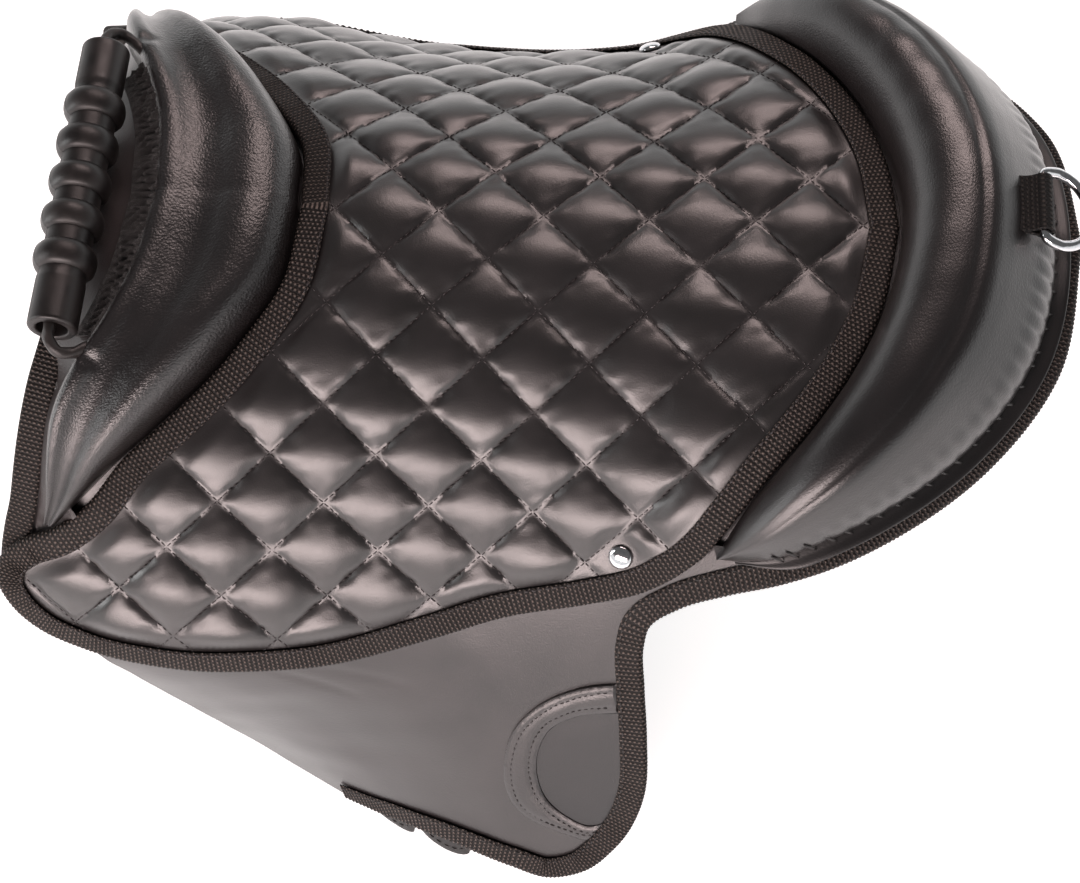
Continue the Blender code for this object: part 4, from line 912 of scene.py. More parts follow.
def tape(name, edge, low, high, material, closed=False):
    """Folded edging tape along a flat edge, with woven ribs standing on its outer face.

    The fold is a half ellipse over the edge and the two leaves lie flat. The ribs are a sine of
    the way along, 2 mm from one to the next.
    """
    bottom, top = low - EDGE_GAP - TAPE, high + EDGE_GAP + TAPE
    middle, half = (bottom + top) / 2, (top - bottom) / 2
    ways = arc(90, 270, 9)
    outer = np.array((FOLD, middle)) + ways * (FOLD, half)
    inner = (np.array((FOLD, middle)) + ways * (FOLD - TAPE, half - TAPE))[::-2]
    reach = np.linspace(TAPE_WIDTH, FOLD, 6)[:-1]
    section = np.concatenate([
        np.stack([reach, np.full(5, top)], 1), outer, np.stack([reach[::-1], np.full(5, bottom)], 1),
        [(TAPE_WIDTH + 0.0004, bottom + TAPE / 2), (TAPE_WIDTH, bottom + TAPE)], inner,
        [(TAPE_WIDTH, top - TAPE), (TAPE_WIDTH + 0.0004, top - TAPE / 2)]])
    out = np.zeros_like(section)
    out[:5], out[5:14], out[14:19] = (0.0, 1.0), ways, (0.0, -1.0)
    length = way_along(edge, closed)
    pitch = length[-1] / round(length[-1] / RIB_STEP)
    lift = RIB_LIFT * np.sin(2 * math.pi * length[:len(edge)] / pitch)
    lift = lift * (1.0 + 0.35 * ripple(length[:len(edge)], 0.0, 0.0, 17, 0.021))
    offset = section + lift[:, None, None] * out
    flat = np.empty((len(edge), len(section), 3))
    flat[..., :2] = edge[:, None, :2] + leftward(edge, closed)[:, None] * offset[..., :1]
    flat[..., 2] = offset[..., 1]
    around = way_along(section, True)
    along = length if closed else np.append(length, length[-1])
    return skin(name, lay(flat), material, closed, flat_map(along, around), SOFT_EDGE)


def hinge_band(side):
    """Where a flap starts and stops bending: points to both sides of the plane that lies best
    in its curved hinge line, square to that plane."""
    share = np.linspace(0.0, 1.0, 25)[:, None]
    line = np.array(HINGE_FRONT) + (np.array(HINGE_REAR) - HINGE_FRONT) * share
    placed = lay(np.column_stack([line, np.full(25, SKIRT_TOP)]))
    middle = placed.mean(0)
    way = np.linalg.svd(placed - middle)[2][2]
    way = way * (-1.0 if way[1] > 0 else 1.0)
    flip = np.array((1.0, -side, 1.0))
    return (middle - way * BEND_BEFORE) * flip, (middle + way * BEND_AFTER) * flip


def over_hinge(made, side, slot_name, *nodes):
    """Bake a flap piece's place into its mesh and hide the solids it stands for; its hinge band is worked out but not
    used.
    """
    start, end = hinge_band(side)
    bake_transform(made)
    if nodes:
        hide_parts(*nodes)
    return made


def outer_edge():
    """Near edge of flap and skirt in one line: from the hinge's front end round the flap, up its
    rear, over the hinge and round the cantle to the spine."""
    rear = round_centre(np.array(CANTLE_ANGLES[5::-1]), np.array(CANTLE_OUTER[5::-1]) + SKIRT_MARGIN)
    return curve(np.concatenate([[HINGE_FRONT], FLAP_SHAPE, SKIRT_SIDE, rear]), 0.0005)


def leather_swell(x, s):
    """Slow swells of the skirt leather over the pad, with two soft creases under the seat."""
    swell = 0.00030 * ripple(x, s, 0.0, 21, 0.070) + 0.00010 * ripple(x, s, 0.0, 22, 0.024)
    side = np.abs(s)
    patch = smooth((0.030 - x) / 0.015)
    for start, end, depth in (((-0.075, 0.219), (-0.035, 0.236), 0.0006), ((-0.060, 0.216), (-0.010, 0.226), 0.0005)):
        run = np.array(end) - start
        along = np.clip(((x - start[0]) * run[0] + (side - start[1]) * run[1]) / (run @ run), 0.0, 1.0)
        off = np.hypot(x - start[0] - along * run[0], side - start[1] - along * run[1])
        swell = swell - depth * bell(off, 0.0022) * np.sin(math.pi * along) ** 0.5
    return swell * patch


def build_skirt_and_flaps(finish):
    """Skirt leather under the seat, and each flap's leather from under the seat's edge to its
    free edge, so that no seam shows at the hinge."""
    edge = outer_edge()
    length = way_along(edge)
    cut = inset(edge, (smooth(length / 0.015) * (EDGE_GAP + TAPE))[:, None], False)[::6]
    rear_from = np.argmin(np.hypot(*(cut - round_centre(58.0, 0.1800)).T))
    front = curve(np.concatenate([SKIRT_FRONT, [HINGE_FRONT]]), 0.004)[:-1]
    seam = curve(UNDER_SEAT, 0.004)
    shown = front[front[:, 1] < seam[0, 1]]
    flap = np.concatenate([shown, cut[:rear_from + 1], seam[::-1]])
    hidden = front[front[:, 1] >= seam[0, 1]]
    middle = both_sides(np.concatenate([hidden, seam, cut[rear_from:-1], edge[-1:] - ((EDGE_GAP + TAPE, 0.0),)]))
    top, bottom = (lambda x, s, n=n: leather_swell(x, s) + n for n in (SKIRT_TOP, SKIRT_TOP - SKIRT_THICKNESS))
    made = laid_sheet("skirt_leather", [middle], 0.005, level(SKIRT_TOP), level(SKIRT_TOP - SKIRT_THICKNESS),
                      finish["flap"])
    dress(made, "saddle", "black_leather", "skirt")
    for side, word in HANDS:
        outline = flap if side < 0 else mirrored(flap)
        made = laid_sheet(f"flap_leather_{word}", [outline], 0.0022, top, bottom, finish["flap"], bottom_cell=0.008)
        over_hinge(made, side, "black_leather", f"flap_{word}")
        line = edge[np.argmin(np.hypot(*(edge - FLAP_SHAPE[4]).T)) + 10:]
        line = line if side < 0 else mirrored(line)
        made = tape(f"edge_tape_{word}", line, SKIRT_TOP - SKIRT_THICKNESS, SKIRT_TOP, finish["tape"])
        over_hinge(made, side, "webbing", f"flap_binding_{word}", "skirt_binding")
        seam_line = inset(line, TAPE_WIDTH - 0.0012, False)
        starts, ends = stitch_line(seam_line, 0.0032, 0.2, SKIRT_TOP + EDGE_GAP + TAPE, 0.00008, 31)
        over_hinge(sew(f"edge_stitches_{word}", starts, ends, 0.00030, 0.00025, finish["dark_thread"]), side,
                   "webbing")


def build_thigh_patches(finish):
    """Raised frame on each flap, with two stitched lines, and the flat panel inside it.

    Both are pressed flat where they run on under the tape, and have no stitches there.
    """
    base = SKIRT_TOP + LAYER_GAP
    for side, word in HANDS:
        body = f"flap_{word}"
        ring, middle = closed_line(PATCH_EDGE, 0.002), closed_line(PATCH_MIDDLE, 0.002)
        if side > 0:
            ring, middle = mirrored(ring), mirrored(middle)
        hole = inset(middle, -0.0003)
        rim = outer_edge()[::8]
        rim = rim if side < 0 else mirrored(rim)

        def pressed(x, s):
            return 0.10 + 0.90 * smooth((distance_to(rim, x, s, False) - TAPE_WIDTH) / 0.0014)

        def frame_top(x, s):
            out, within_ring = distance_to(ring, x, s), distance_to(hole, x, s)
            edge = np.minimum(out, within_ring)
            crown = 0.0011 + 0.0014 * np.sqrt(np.clip(1.0 - (1.0 - np.clip(edge / 0.006, 0, 1)) ** 2, 0, 1))
            groove = 0.0005 * bell(edge - 0.0032, 0.0011)
            return base + (crown - groove + 0.00015 * ripple(x, s, 0.0, 41, 0.020)) * pressed(x, s)

        def panel_top(x, s):
            return base + (0.0007 + 0.0004 * smooth(distance_to(middle, x, s) / 0.010)) * pressed(x, s)

        made = laid_sheet(f"thigh_frame_leather_{word}", [ring, hole], 0.0012, frame_top, level(base), finish["patch"])
        dress(made, body, "black_leather", f"thigh_frame_{word}")
        made = laid_sheet(f"thigh_panel_leather_{word}", [middle], 0.0020, panel_top, level(base), finish["panel"])
        dress(made, body, "black_leather", f"thigh_patch_{word}")
        lines = [inset(np.concatenate([ring, ring[:1]]), PATCH_SEAM, False),
                 inset(np.concatenate([hole, hole[:1]]), -PATCH_SEAM, False)]
        pairs = [stitch_line(line, 0.0030, 0.22, base + 0.0018, 0.0001, 43) for line in lines]
        starts, ends = (np.concatenate([pair[k] for pair in pairs]) for k in (0, 1))
        shown = distance_to(rim, starts[:, 0], starts[:, 1], False) > TAPE_WIDTH + 0.0020
        made = sew(f"thigh_stitches_{word}", starts[shown], ends[shown], 0.00032, 0.0003, finish["dark_thread"])
        dress(made, body, "webbing")


def closed_line(points, spacing):
    """Smooth curve through points and an evenly divided straight run back to its start."""
    line = curve(points, spacing)
    gap = np.linalg.norm(line[0] - line[-1])
    share = np.linspace(0.0, 1.0, int(gap / spacing) + 2)[1:-1, None]
    return np.concatenate([line, line[-1] + (line[0] - line[-1]) * share])


def section_line(shape, width, height, spacing):
    """Smooth section through shares of a roll's width and height, evenly divided."""
    size = np.array((width, height))
    return curve(np.array(shape) * size, spacing) / size


def build_pommel(finish):
    """Padded roll across the front, its front leather and the felt on its throat.

    Its section is carried from side to side between its rear and front lines; slow ripples
    are added to its height.
    """
    reach = POMMEL_SIDE[-1]
    s = np.linspace(-reach, reach, 240)
    rear, front, height = (through(POMMEL_SIDE, line, np.abs(s)) for line in (POMMEL_REAR, POMMEL_FRONT,
                                                                             POMMEL_HEIGHT))
    share = section_line(POMMEL_SHAPE, 0.060, 0.030, 0.0018)
    foot = np.stack([np.linspace(1.0, 0.0, 8)[1:-1], np.zeros(6)], 1)
    share = np.concatenate([share, foot])
    across = rear[:, None] + (front - rear)[:, None] * share[:, 0]
    up = ROLL_BASE + (height - ROLL_BASE)[:, None] * share[:, 1]
    side = np.repeat(s[:, None], across.shape[1], 1)
    loose = smooth((share[:, 1] - 0.25) / 0.4)
    up = up + loose * (0.00022 * ripple(across, side, 0.0, 51, 0.040) + 0.00005 * ripple(across, side, 0.0, 52, 0.010))
    for hand in (-1, 1):
        hole = np.hypot(across - CORD_DENT[0], side - hand * CORD_DENT[1])
        up = up - 0.0022 * bell(hole, 0.0030) * loose
    made = skin("pommel_padding", lay(np.stack([across, side, up], -1)), finish["pommel"], edge=SOFT_EDGE)
    dress(made, "saddle", "padded_leather", "pommel_roll")
    build_throat(finish)


def build_throat(finish):
    """Front leather that slopes down ahead of the roll, and the felt band over its upper edge.

    Each is a band from side to side, tucked in behind the roll's front foot. From its top line to
    its foot line it drops evenly while it runs ahead with the power 1.1 of the share, and it has a
    thickness. Short ripples roughen the felt and fade at its edges by a half sine.
    """
    for name, node, reach, top, foot, thick, paint, slot_name, rough in (
            # The front leather's finish "face" is black leather-cloth painted lighter, a painted sheen.
            ("pommel_face_leather", "pommel_face", 0.168, (-0.0050, 0.62), (0.0270, 0.0010), 0.0016, "face",
             "black_leather", 0.0),
            ("throat_felt", "throat_trim", 0.064, (-0.0060, 0.90), (0.0090, 0.0105), 0.0020, "felt", "felt", 0.0004)):
        s = np.linspace(-reach, reach, 300)
        side = np.abs(s)
        leather_side = slot_name == "black_leather"
        front, height = (through(POMMEL_SIDE, line, np.minimum(side, POMMEL_SIDE[-1]))
                         for line in (POMMEL_FRONT, POMMEL_HEIGHT))
        narrow = 1.0 - (0.62 if leather_side else 0.35) * smooth((side - 0.058) / 0.030)
        high = ROLL_BASE + (height - ROLL_BASE) * top[1] - 0.0046 * smooth((side - 0.142) / 0.010)
        low = ROLL_BASE + foot[1] - 0.0042 * smooth((side - 0.020) / 0.040) * leather_side
        low = np.minimum(low, high - 0.0010)
        share = np.linspace(0.0, 1.0, 16)
        back = (top[0] - 0.009 * leather_side * smooth((side - 0.130) / 0.014))[:, None]
        ahead = front[:, None] - back - (foot[0] * narrow[:, None] - back) * share ** 1.1
        up = high[:, None] + (low - high)[:, None] * share
        fuzz = rough * ripple(s[:, None], up, 0.0, 55, 0.0050) + rough * ripple(s[:, None], up, 0.0, 56, 0.0022)
        fuzz = fuzz * np.sin(math.pi * share)
        outer = np.stack([ahead - thick - fuzz, np.repeat(s[:, None], 16, 1), up + fuzz], -1)
        inner = np.stack([ahead, np.repeat(s[:, None], 16, 1), up - thick / 2], -1)
        flat = np.concatenate([outer, inner[:, ::-1]], 1)
        dress(skin(name, lay(flat), finish[paint], edge=BAND_EDGE), "saddle", slot_name, node)


def cantle_lines(turn):
    """Inner and outer radius and height of the cantle at angles in degrees."""
    return (through(CANTLE_ANGLES, line, np.abs(turn)) for line in (CANTLE_INNER, CANTLE_OUTER, CANTLE_HEIGHT))


def build_cantle(finish):
    """Padded roll round the rear, the flat strip along its foot and the stitches between them.

    The section is carried round the cantle's centre. Its lip is gathered by a sine of the way
    round, one wave to a stitch, which fades up the slope; a groove gives the crease inside.
    """
    turn = np.linspace(-ROLL_ANGLE, ROLL_ANGLE, 420)
    inner, outer, height = cantle_lines(turn)
    share = section_line(CANTLE_SHAPE, 0.060, 0.040, 0.0017)
    lip = STRIP_TOP + LAYER_GAP
    radius = inner[:, None] + (outer - inner)[:, None] * share[:, 0]
    up = ROLL_BASE + (height - ROLL_BASE)[:, None] * share[:, 1]
    way = (np.radians(turn) * outer)[:, None]
    wave = 0.5 + 0.5 * np.cos(2 * math.pi * way / WHIP_PITCH + 0.5 * ripple(way, 0.0, 0.0, 61, 0.05))
    gathers = smooth((share[:, 0] - 0.80) / 0.18)
    full = smooth((share[:, 1] - 0.05) / 0.35) * smooth((68.0 - np.abs(turn)) / 12.0)[:, None]
    crease = bell(share[:, 0] - 0.475, 0.013) * smooth((64.0 - np.abs(turn)) / 20.0)[:, None]
    place = radius * np.cos(np.radians(turn))[:, None], radius * np.sin(np.radians(turn))[:, None]
    up = up - 0.0006 * crease - gathers * 0.0014 * wave ** 2
    up = up + full * (0.00035 * ripple(*place, up, 62, 0.055) + 0.00008 * ripple(*place, up, 63, 0.016))
    bead, under = np.full((len(turn), 1), lip + 0.0008), np.full((len(turn), 1), lip)
    tuck = outer - STRIP_TUCK - LAYER_GAP
    foot = np.linspace(tuck, inner, 8)[:-1].T
    radius = np.concatenate([radius, (outer - 0.0003)[:, None], tuck[:, None], foot], 1)
    up = np.concatenate([up, bead, under, np.full((len(turn), foot.shape[1]), ROLL_BASE)], 1)
    grid = np.concatenate([round_centre(turn[:, None], radius), up[..., None]], -1)
    made = skin("cantle_padding", lay(grid), finish["cantle"], edge=SOFT_EDGE)
    dress(made, "saddle", "padded_leather", "cantle_roll")

    turn = np.linspace(-STRIP_ANGLE, STRIP_ANGLE, 320)
    outer = through(CANTLE_ANGLES, CANTLE_OUTER, np.abs(turn))
    half = (STRIP_TOP - STRIP_BOTTOM) / 2
    middle = STRIP_TOP - half
    nose = arc(-90, 90, 7) * half + (STRIP_SHOW - half, middle)
    top = np.stack([np.linspace(STRIP_SHOW - half, -STRIP_TUCK, 9)[1:], np.full(8, STRIP_TOP)], 1)
    section = np.concatenate([[(-STRIP_TUCK, STRIP_BOTTOM)], nose, top])
    section[8:11, 1] += (0.00012, -0.00025, -0.00010)
    shown = 1.0 - 0.80 * smooth((np.abs(turn) - 58.0) / 9.5)[:, None]
    out = np.where(section[:, 0] > 0, section[:, 0] * shown, section[:, 0])
    flat = np.concatenate([round_centre(turn[:, None], outer[:, None] + out),
                           np.repeat(section[None, :, 1:], len(turn), 0)], -1)
    dress(skin("cantle_strip_leather", lay(flat), finish["strip"], edge=BAND_EDGE), "saddle", "black_leather",
          "cantle_strip")
    reach = np.radians(STRIP_ANGLE - 4.0) * WHIP_RADIUS
    way = np.arange(-reach, reach, WHIP_PITCH)
    source = np.random.default_rng(65)
    at = np.degrees(way / WHIP_RADIUS)
    outer = through(CANTLE_ANGLES, CANTLE_OUTER, np.abs(at))
    pull, slip = source.uniform(-0.4, 0.4, len(at)), source.uniform(0.0, 0.0008, len(at))
    starts = np.column_stack([round_centre(at + pull, outer + 0.0016 + slip), np.full(len(at), STRIP_TOP + 0.0002)])
    ends = np.column_stack([round_centre(at + 1.3 + pull, outer - 0.0034 - slip), np.full(len(at), lip + 0.0066)])
    dress(sew("whip_stitches", starts, ends, 0.00055, 0.0004, finish["dark_thread"]), "saddle", "webbing")


def frame_at(x, s):
    """World frame at a flat place: X along the back, Z square to the laid surface."""
    step = 0.0005
    place = lay(((x, s, 0.0), (x - step, s, 0.0), (x + step, s, 0.0), (x, s - step, 0.0), (x, s + step, 0.0)))
    ahead = Vector(place[2] - place[1]).normalized()
    up = ahead.cross(Vector(place[4] - place[3])).normalized()
    return Matrix.Translation(Vector(place[0])) @ Matrix((ahead, up.cross(ahead), up)).transposed().to_4x4()


def turned(name, profile, place, count, material, ring=False, lift=None, edge=40.0):
    """Turn a profile of (radius, height) about the Z axis of a frame; ring joins its ends.

    lift(angle, height) is added to the radius.
    """
    angle = round_angles(count)
    profile = np.asarray(profile, float)
    radius = np.repeat(profile[:, :1], count, 1)
    if lift is not None:
        radius = radius + lift(angle[None], profile[:, 1:])
    rings = np.stack([radius * np.cos(angle), radius * np.sin(angle), np.repeat(profile[:, 1:], count, 1)], -1)
    rings = rings @ np.array(place.to_3x3()).T + np.array(place.translation)
    return skin(name, rings, material, closed=ring, edge=edge)


def round_loop(points, steps):
    """Closed smooth curve through points: Catmull-Rom cubics, steps to each span."""
    a, b, c, d = (np.roll(points, k, 0)[:, None] for k in (1, 0, -1, -2))
    t = (np.arange(steps) / steps)[None, :, None]
    line = b + t * ((c - a) + t * ((2 * a - 5 * b + 4 * c - d) + t * (3 * b - a - 3 * c + d))) / 2
    return line.reshape(-1, points.shape[1])


def tube(name, path, radius, count, material, closed=False, lift=None):
    """Round tube along a path in the world, its rings square to it and turned with no twist;
    lift(angle, distance along) scales the radius."""
    run = np.roll(path, -1, 0) - np.roll(path, 1, 0) if closed else np.gradient(path, axis=0)
    run = run / np.linalg.norm(run, axis=1)[:, None]
    side = np.cross(run[0], (0.3, 0.2, 1.0))
    sides = []
    for ahead in run:
        side = side - ahead * (side @ ahead)
        side = side / np.linalg.norm(side)
        sides.append(side)
    sides = np.array(sides)
    ups = np.cross(run, sides)
    angle = round_angles(count)
    size = np.full((len(path), count), radius)
    if lift is not None:
        size = size * lift(angle[None], way_along(path)[:, None])
    grid = path[:, None] + size[..., None] * (np.cos(angle)[None, :, None] * sides[:, None]
                                              + np.sin(angle)[None, :, None] * ups[:, None])
    return skin(name, grid, material, closed=closed, edge=SOFT_EDGE)


def build_handle(finish):
    """Rubber grip and the cord that it turns on.

    The grip's radius is a neck with a round bead every 19 mm, a rounded rim at each end and two
    fine mould lines; the cord is laid from three strands.
    """
    height = GRIP_Z + BORE_RADIUS - CORD_RADIUS - CORD_GAP
    inner = [(GRIP_X, reach, height) for reach in (0.0, 0.02, 0.04, GRIP_LENGTH / 2 - 0.004, GRIP_LENGTH / 2)]
    half = np.concatenate([curve(inner[:4], 0.0012)[:-1], curve(np.concatenate([inner[3:], CORD_BEND]), 0.0009)])
    half = half + (-MIDDLE_X, 0.0, FLOOR_DROP)
    path = np.concatenate([half[:0:-1] * (1.0, -1.0, 1.0), half])
    made = tube("braided_cord", path, CORD_RADIUS, 24, finish["cord"],
                lift=lambda angle, run: 0.90 + 0.12 * np.abs(np.cos(1.5 * angle + math.pi * run / 0.0075)))
    dress(made, "saddle", "webbing", "grip_cord")
    end = GRIP_LENGTH / 2
    y = np.linspace(-end + 0.0016, end - 0.0016, 320)
    away = np.abs(y[:, None] - np.arange(-2, 3) * RIB_PITCH).min(1)
    rib = np.clip(1.0 - (away / 0.0062) ** 2, 0.0, 1.0) ** 0.6
    ends = smooth((np.abs(y) - 2.4 * RIB_PITCH) / 0.004)
    radius = NECK_RADIUS + (RIB_RADIUS - NECK_RADIUS) * rib * (1.0 - ends) + (GRIP_RADIUS - NECK_RADIUS) * ends
    lip = np.radians(np.linspace(0, 90, 7))[1:]
    cap = np.stack([GRIP_RADIUS - 0.0016 + 0.0016 * np.cos(lip), end - 0.0016 + 0.0016 * np.sin(lip)], 1)
    mouth = np.stack([BORE_RADIUS + 0.0008 - 0.0008 * np.sin(lip), end - 0.0008 + 0.0008 * np.cos(lip)], 1)
    mouth = np.concatenate([[(BORE_RADIUS + 0.0008, end)], mouth])
    profile = np.concatenate([np.stack([radius, y], 1), cap, mouth, [(BORE_RADIUS, 0.0)],
                              mouth[::-1] * (1, -1), cap[::-1] * (1, -1)])
    place = Matrix.Translation((GRIP_X - MIDDLE_X, 0.0, GRIP_Z + FLOOR_DROP)) @ Matrix.Rotation(-math.pi / 2, 4, "X")

    def mould_lines(angle, reach):
        off = np.abs(np.sin(angle - 0.6)) * GRIP_RADIUS
        return 0.00022 * bell(off, 0.0005) * smooth((end - 0.001 - np.abs(reach)) / 0.002)

    made = turned("rubber_grip", profile, place, 144, finish["rubber"], True, mould_lines, BAND_EDGE)
    dress(made, "grip", "rubber", "grip")


def build_ring(finish):
    """Chrome D ring, and the webbing folded round its bar and sewn into the rear of the roll."""
    middle = np.array((RING_X - MIDDLE_X, 0.0, RING_Z + FLOOR_DROP))
    half, depth = RING_WIDTH / 2 - RING_WIRE, RING_DEPTH - 2 * RING_WIRE
    round_part = arc(-90, 90, 17) * (0.70 * depth, half) + (0.30 * depth, 0.0)
    bar = half * np.array(((0.10, 0.92), (0.0, 0.74), (0.0, 0.37), (0.0, 0.0), (0.0, -0.37), (0.0, -0.74),
                           (0.10, -0.92)))
    line = round_loop(np.concatenate([round_part, bar]), 7)
    path = np.stack([line[:, 0] * math.cos(RING_LEAN), line[:, 1], -line[:, 0] * math.sin(RING_LEAN)], 1)
    dress(tube("steel_ring", middle + path, RING_WIRE, 28, finish["chrome"], True), "crupper_ring", "chrome",
          "crupper_ring")
    radius, layer = RING_WIRE + 0.0005 + KEEPER_THICKNESS / 2, KEEPER_THICKNESS / 2 + 0.00015
    loop = arc(-140, 140, 13) * radius
    tail = [(-0.0062, layer), (-0.0095, layer), (-0.0130, layer), (-KEEPER_TAIL + layer, layer), (-KEEPER_TAIL, 0.0),
            (-KEEPER_TAIL + layer, -layer), (-0.0130, -layer), (-0.0095, -layer), (-0.0062, -layer)]
    loop = round_loop(np.concatenate([loop, tail]), 6)
    side = leftward(loop, True)
    wide = KEEPER_WIDTH / 2
    corner = np.concatenate([[(1, y) for y in np.linspace(-wide, wide, 25)],
                             [(-1, y) for y in np.linspace(wide, -wide, 25)]])
    rib = 0.00012 * np.sin(2 * math.pi * corner[:, 1] / 0.0022) * corner[:, 0]
    across = corner[:, 0] * KEEPER_THICKNESS / 2 + rib
    grid = np.empty((len(loop), len(corner), 3))
    grid[..., 0] = middle[0] + loop[:, :1] + side[:, :1] * across
    grid[..., 1] = corner[:, 1]
    grid[..., 2] = middle[2] + loop[:, 1:] + side[:, 1:] * across
    dress(skin("ring_tab", grid, finish["tab"], closed=True, edge=SOFT_EDGE), "saddle", "webbing", "ring_keeper")


def build_rivets(finish):
    """Domed rivets, each with a turned edge bead, and their burrs underneath."""
    for side, word in HANDS:
        place = frame_at(RIVET_X, side * RIVET_S)
        head, foot = SEAT_STITCH + 0.0004, SKIRT_TOP - SKIRT_THICKNESS - 0.0011
        dome = arc(0, 84, 16) * (0.00535, 0.0024) + (0.0, head + 0.0005)
        profile = np.concatenate([[(0.0016, foot - 0.0011), (0.0016, head), (0.0049, head),
                                   (0.0053, head + 0.0002)], dome])
        dress(turned(f"chrome_rivet_{word}", profile, place, 48, finish["chrome"], edge=BAND_EDGE), "saddle", "chrome",
              f"rivet_{word}")
        ring = [(0.0019, foot - 0.0008), (0.0040, foot - 0.0008), (0.0042, foot - 0.0006), (0.0042, foot),
                (0.0019, foot)]
        dress(turned(f"steel_burr_{word}", ring, place, 32, finish["chrome"], True), "saddle", "chrome",
              f"rivet_burr_{word}")


def strap(name, path, width, thick, material, fine=0.0006):
    """Flat woven strap on a flat path, its faces ribbed by a sine every 2 mm."""
    path = curve(path, fine)
    across = np.linspace(-width / 2, width / 2, 15)
    bulge = thick / 2 * np.sqrt(np.clip(1.0 - (np.abs(across) / (width / 2)) ** 12, 0.0, 1.0))
    section = np.concatenate([np.stack([across, bulge], 1), np.stack([across, -bulge], 1)[::-1][1:-1]])
    sign = np.sign(section[:, 1])
    rib = 0.00016 * np.sin(2 * math.pi * way_along(path[:, :2]) / RIB_STEP)
    beads = 1.0 + 0.4 * np.cos(2 * math.pi * section[:, 0] / 0.0024)
    flat = np.empty((len(path), len(section), 3))
    flat[..., :2] = path[:, None, :2] + leftward(path, False)[:, None] * section[None, :, :1]
    flat[..., 2] = path[:, 2:] + section[:, 1] + rib[:, None] * sign * beads
    along = way_along(path)
    grid = flat_map(np.append(along, along[-1]), way_along(section, True))
    return skin(name, lay(flat), material, flat=grid, edge=SOFT_EDGE)


def build_webs(finish):
    """Front strap, girth webs, billets with their holes, and the stirrup loops."""
    half = curve(FRONT_BAND, 0.014)
    path = np.concatenate([half, mirrored(half)[1:]])
    dress(strap("front_strap", path, BAND_WIDTH, 0.0020, finish["tape"]), "saddle", "webbing", "front_band")
    low = SKIRT_TOP - SKIRT_THICKNESS - LAYER_GAP - WEB_THICKNESS
    for middle, end, word in zip(GIRTH_X, BILLET_END, ("front", "rear")):
        s = np.linspace(-WEB_REACH, WEB_REACH, 25)
        path = np.stack([np.full(25, middle), s, np.full(25, low + WEB_THICKNESS / 2)], 1)
        made = strap(f"girth_strap_{word}", path, WEB_WIDTH, WEB_THICKNESS, finish["tape"], 0.0010)
        dress(made, "saddle", "webbing", f"girth_web_{word}")
        for side, hand in HANDS:
            edge = WEB_WIDTH / 2 - 0.0010
            nose = arc(0, 180, 13) * (edge, 0.006) + (middle, end - 0.006)
            run = np.linspace(BILLET_START, end - 0.006, 90)[:-1]
            outline = np.concatenate([np.stack([np.full(89, middle + edge), run], 1), nose,
                                      np.stack([np.full(89, middle - edge), run[::-1]], 1)])
            turn = round_angles(16)
            ring = BILLET_HOLE / 2 * np.stack([np.cos(turn), np.sin(turn)], 1)
            holes = [ring + (middle, end - 0.030 - k * BILLET_PITCH) for k in range(5)]
            loops = [loop * (1.0, side) for loop in (outline, *holes)]
            top = low - LAYER_GAP

            def strap_top(x, s):
                rim = distance_to(loops[0], x, s)
                groove = 0.00035 * bell(rim - BILLET_SEAM, 0.0008)
                return top - 0.0006 * (1.0 - smooth(rim / 0.0014)) - groove

            made = laid_sheet(f"girth_billet_{word}_{hand}", loops, 0.0022, strap_top, level(top - BILLET_THICKNESS),
                              finish["billet"])
            dress(made, "saddle", "black_leather", f"billet_{word}_{hand}")
            line = inset(np.concatenate([loops[0], loops[0][:1]]), BILLET_SEAM * side, False)
            starts, ends = stitch_line(line[:-2], 0.0040, 0.25, top - 0.0001, 0.00005, 71)
            dress(sew(f"billet_stitches_{word}_{hand}", starts, ends, 0.0003, 0.0003, finish["dark_thread"]),
                  "saddle", "webbing")
    for side, hand in HANDS:
        radius = LOOP_SLOT / 2 + 0.0008
        far = arc(-90, 90, 9) * radius
        run = np.linspace(LOOP_START + 0.0015, LOOP_END - 0.0015, 30)[1:-1]
        line = np.concatenate([far + (LOOP_END - 0.0015, 0.0), np.stack([run[::-1], np.full(28, radius)], 1),
                               -far + (LOOP_START + 0.0015, 0.0), np.stack([run, np.full(28, -radius)], 1)])
        way = leftward(line, True)
        middle = PANEL_LOW_TOP + 0.0008 + 0.0016 + LOOP_SLOT / 2
        x = np.concatenate([np.linspace(-1, 1, 13), np.linspace(1, -1, 13)]) * LOOP_WIDTH / 2
        skin_side = np.repeat((1.0, -1.0), 13) * 0.0008
        flat = np.empty((len(line), 26, 3))
        flat[..., 0] = LOOP_X + x
        flat[..., 1] = side * (line[:, :1] + way[:, :1] * skin_side)
        flat[..., 2] = middle + line[:, 1:] + way[:, 1:] * skin_side
        made = skin(f"stirrup_strap_{hand}", lay(flat), finish["tab"], closed=True, edge=SOFT_EDGE)
        dress(made, "saddle", "webbing", f"stirrup_loop_{hand}")


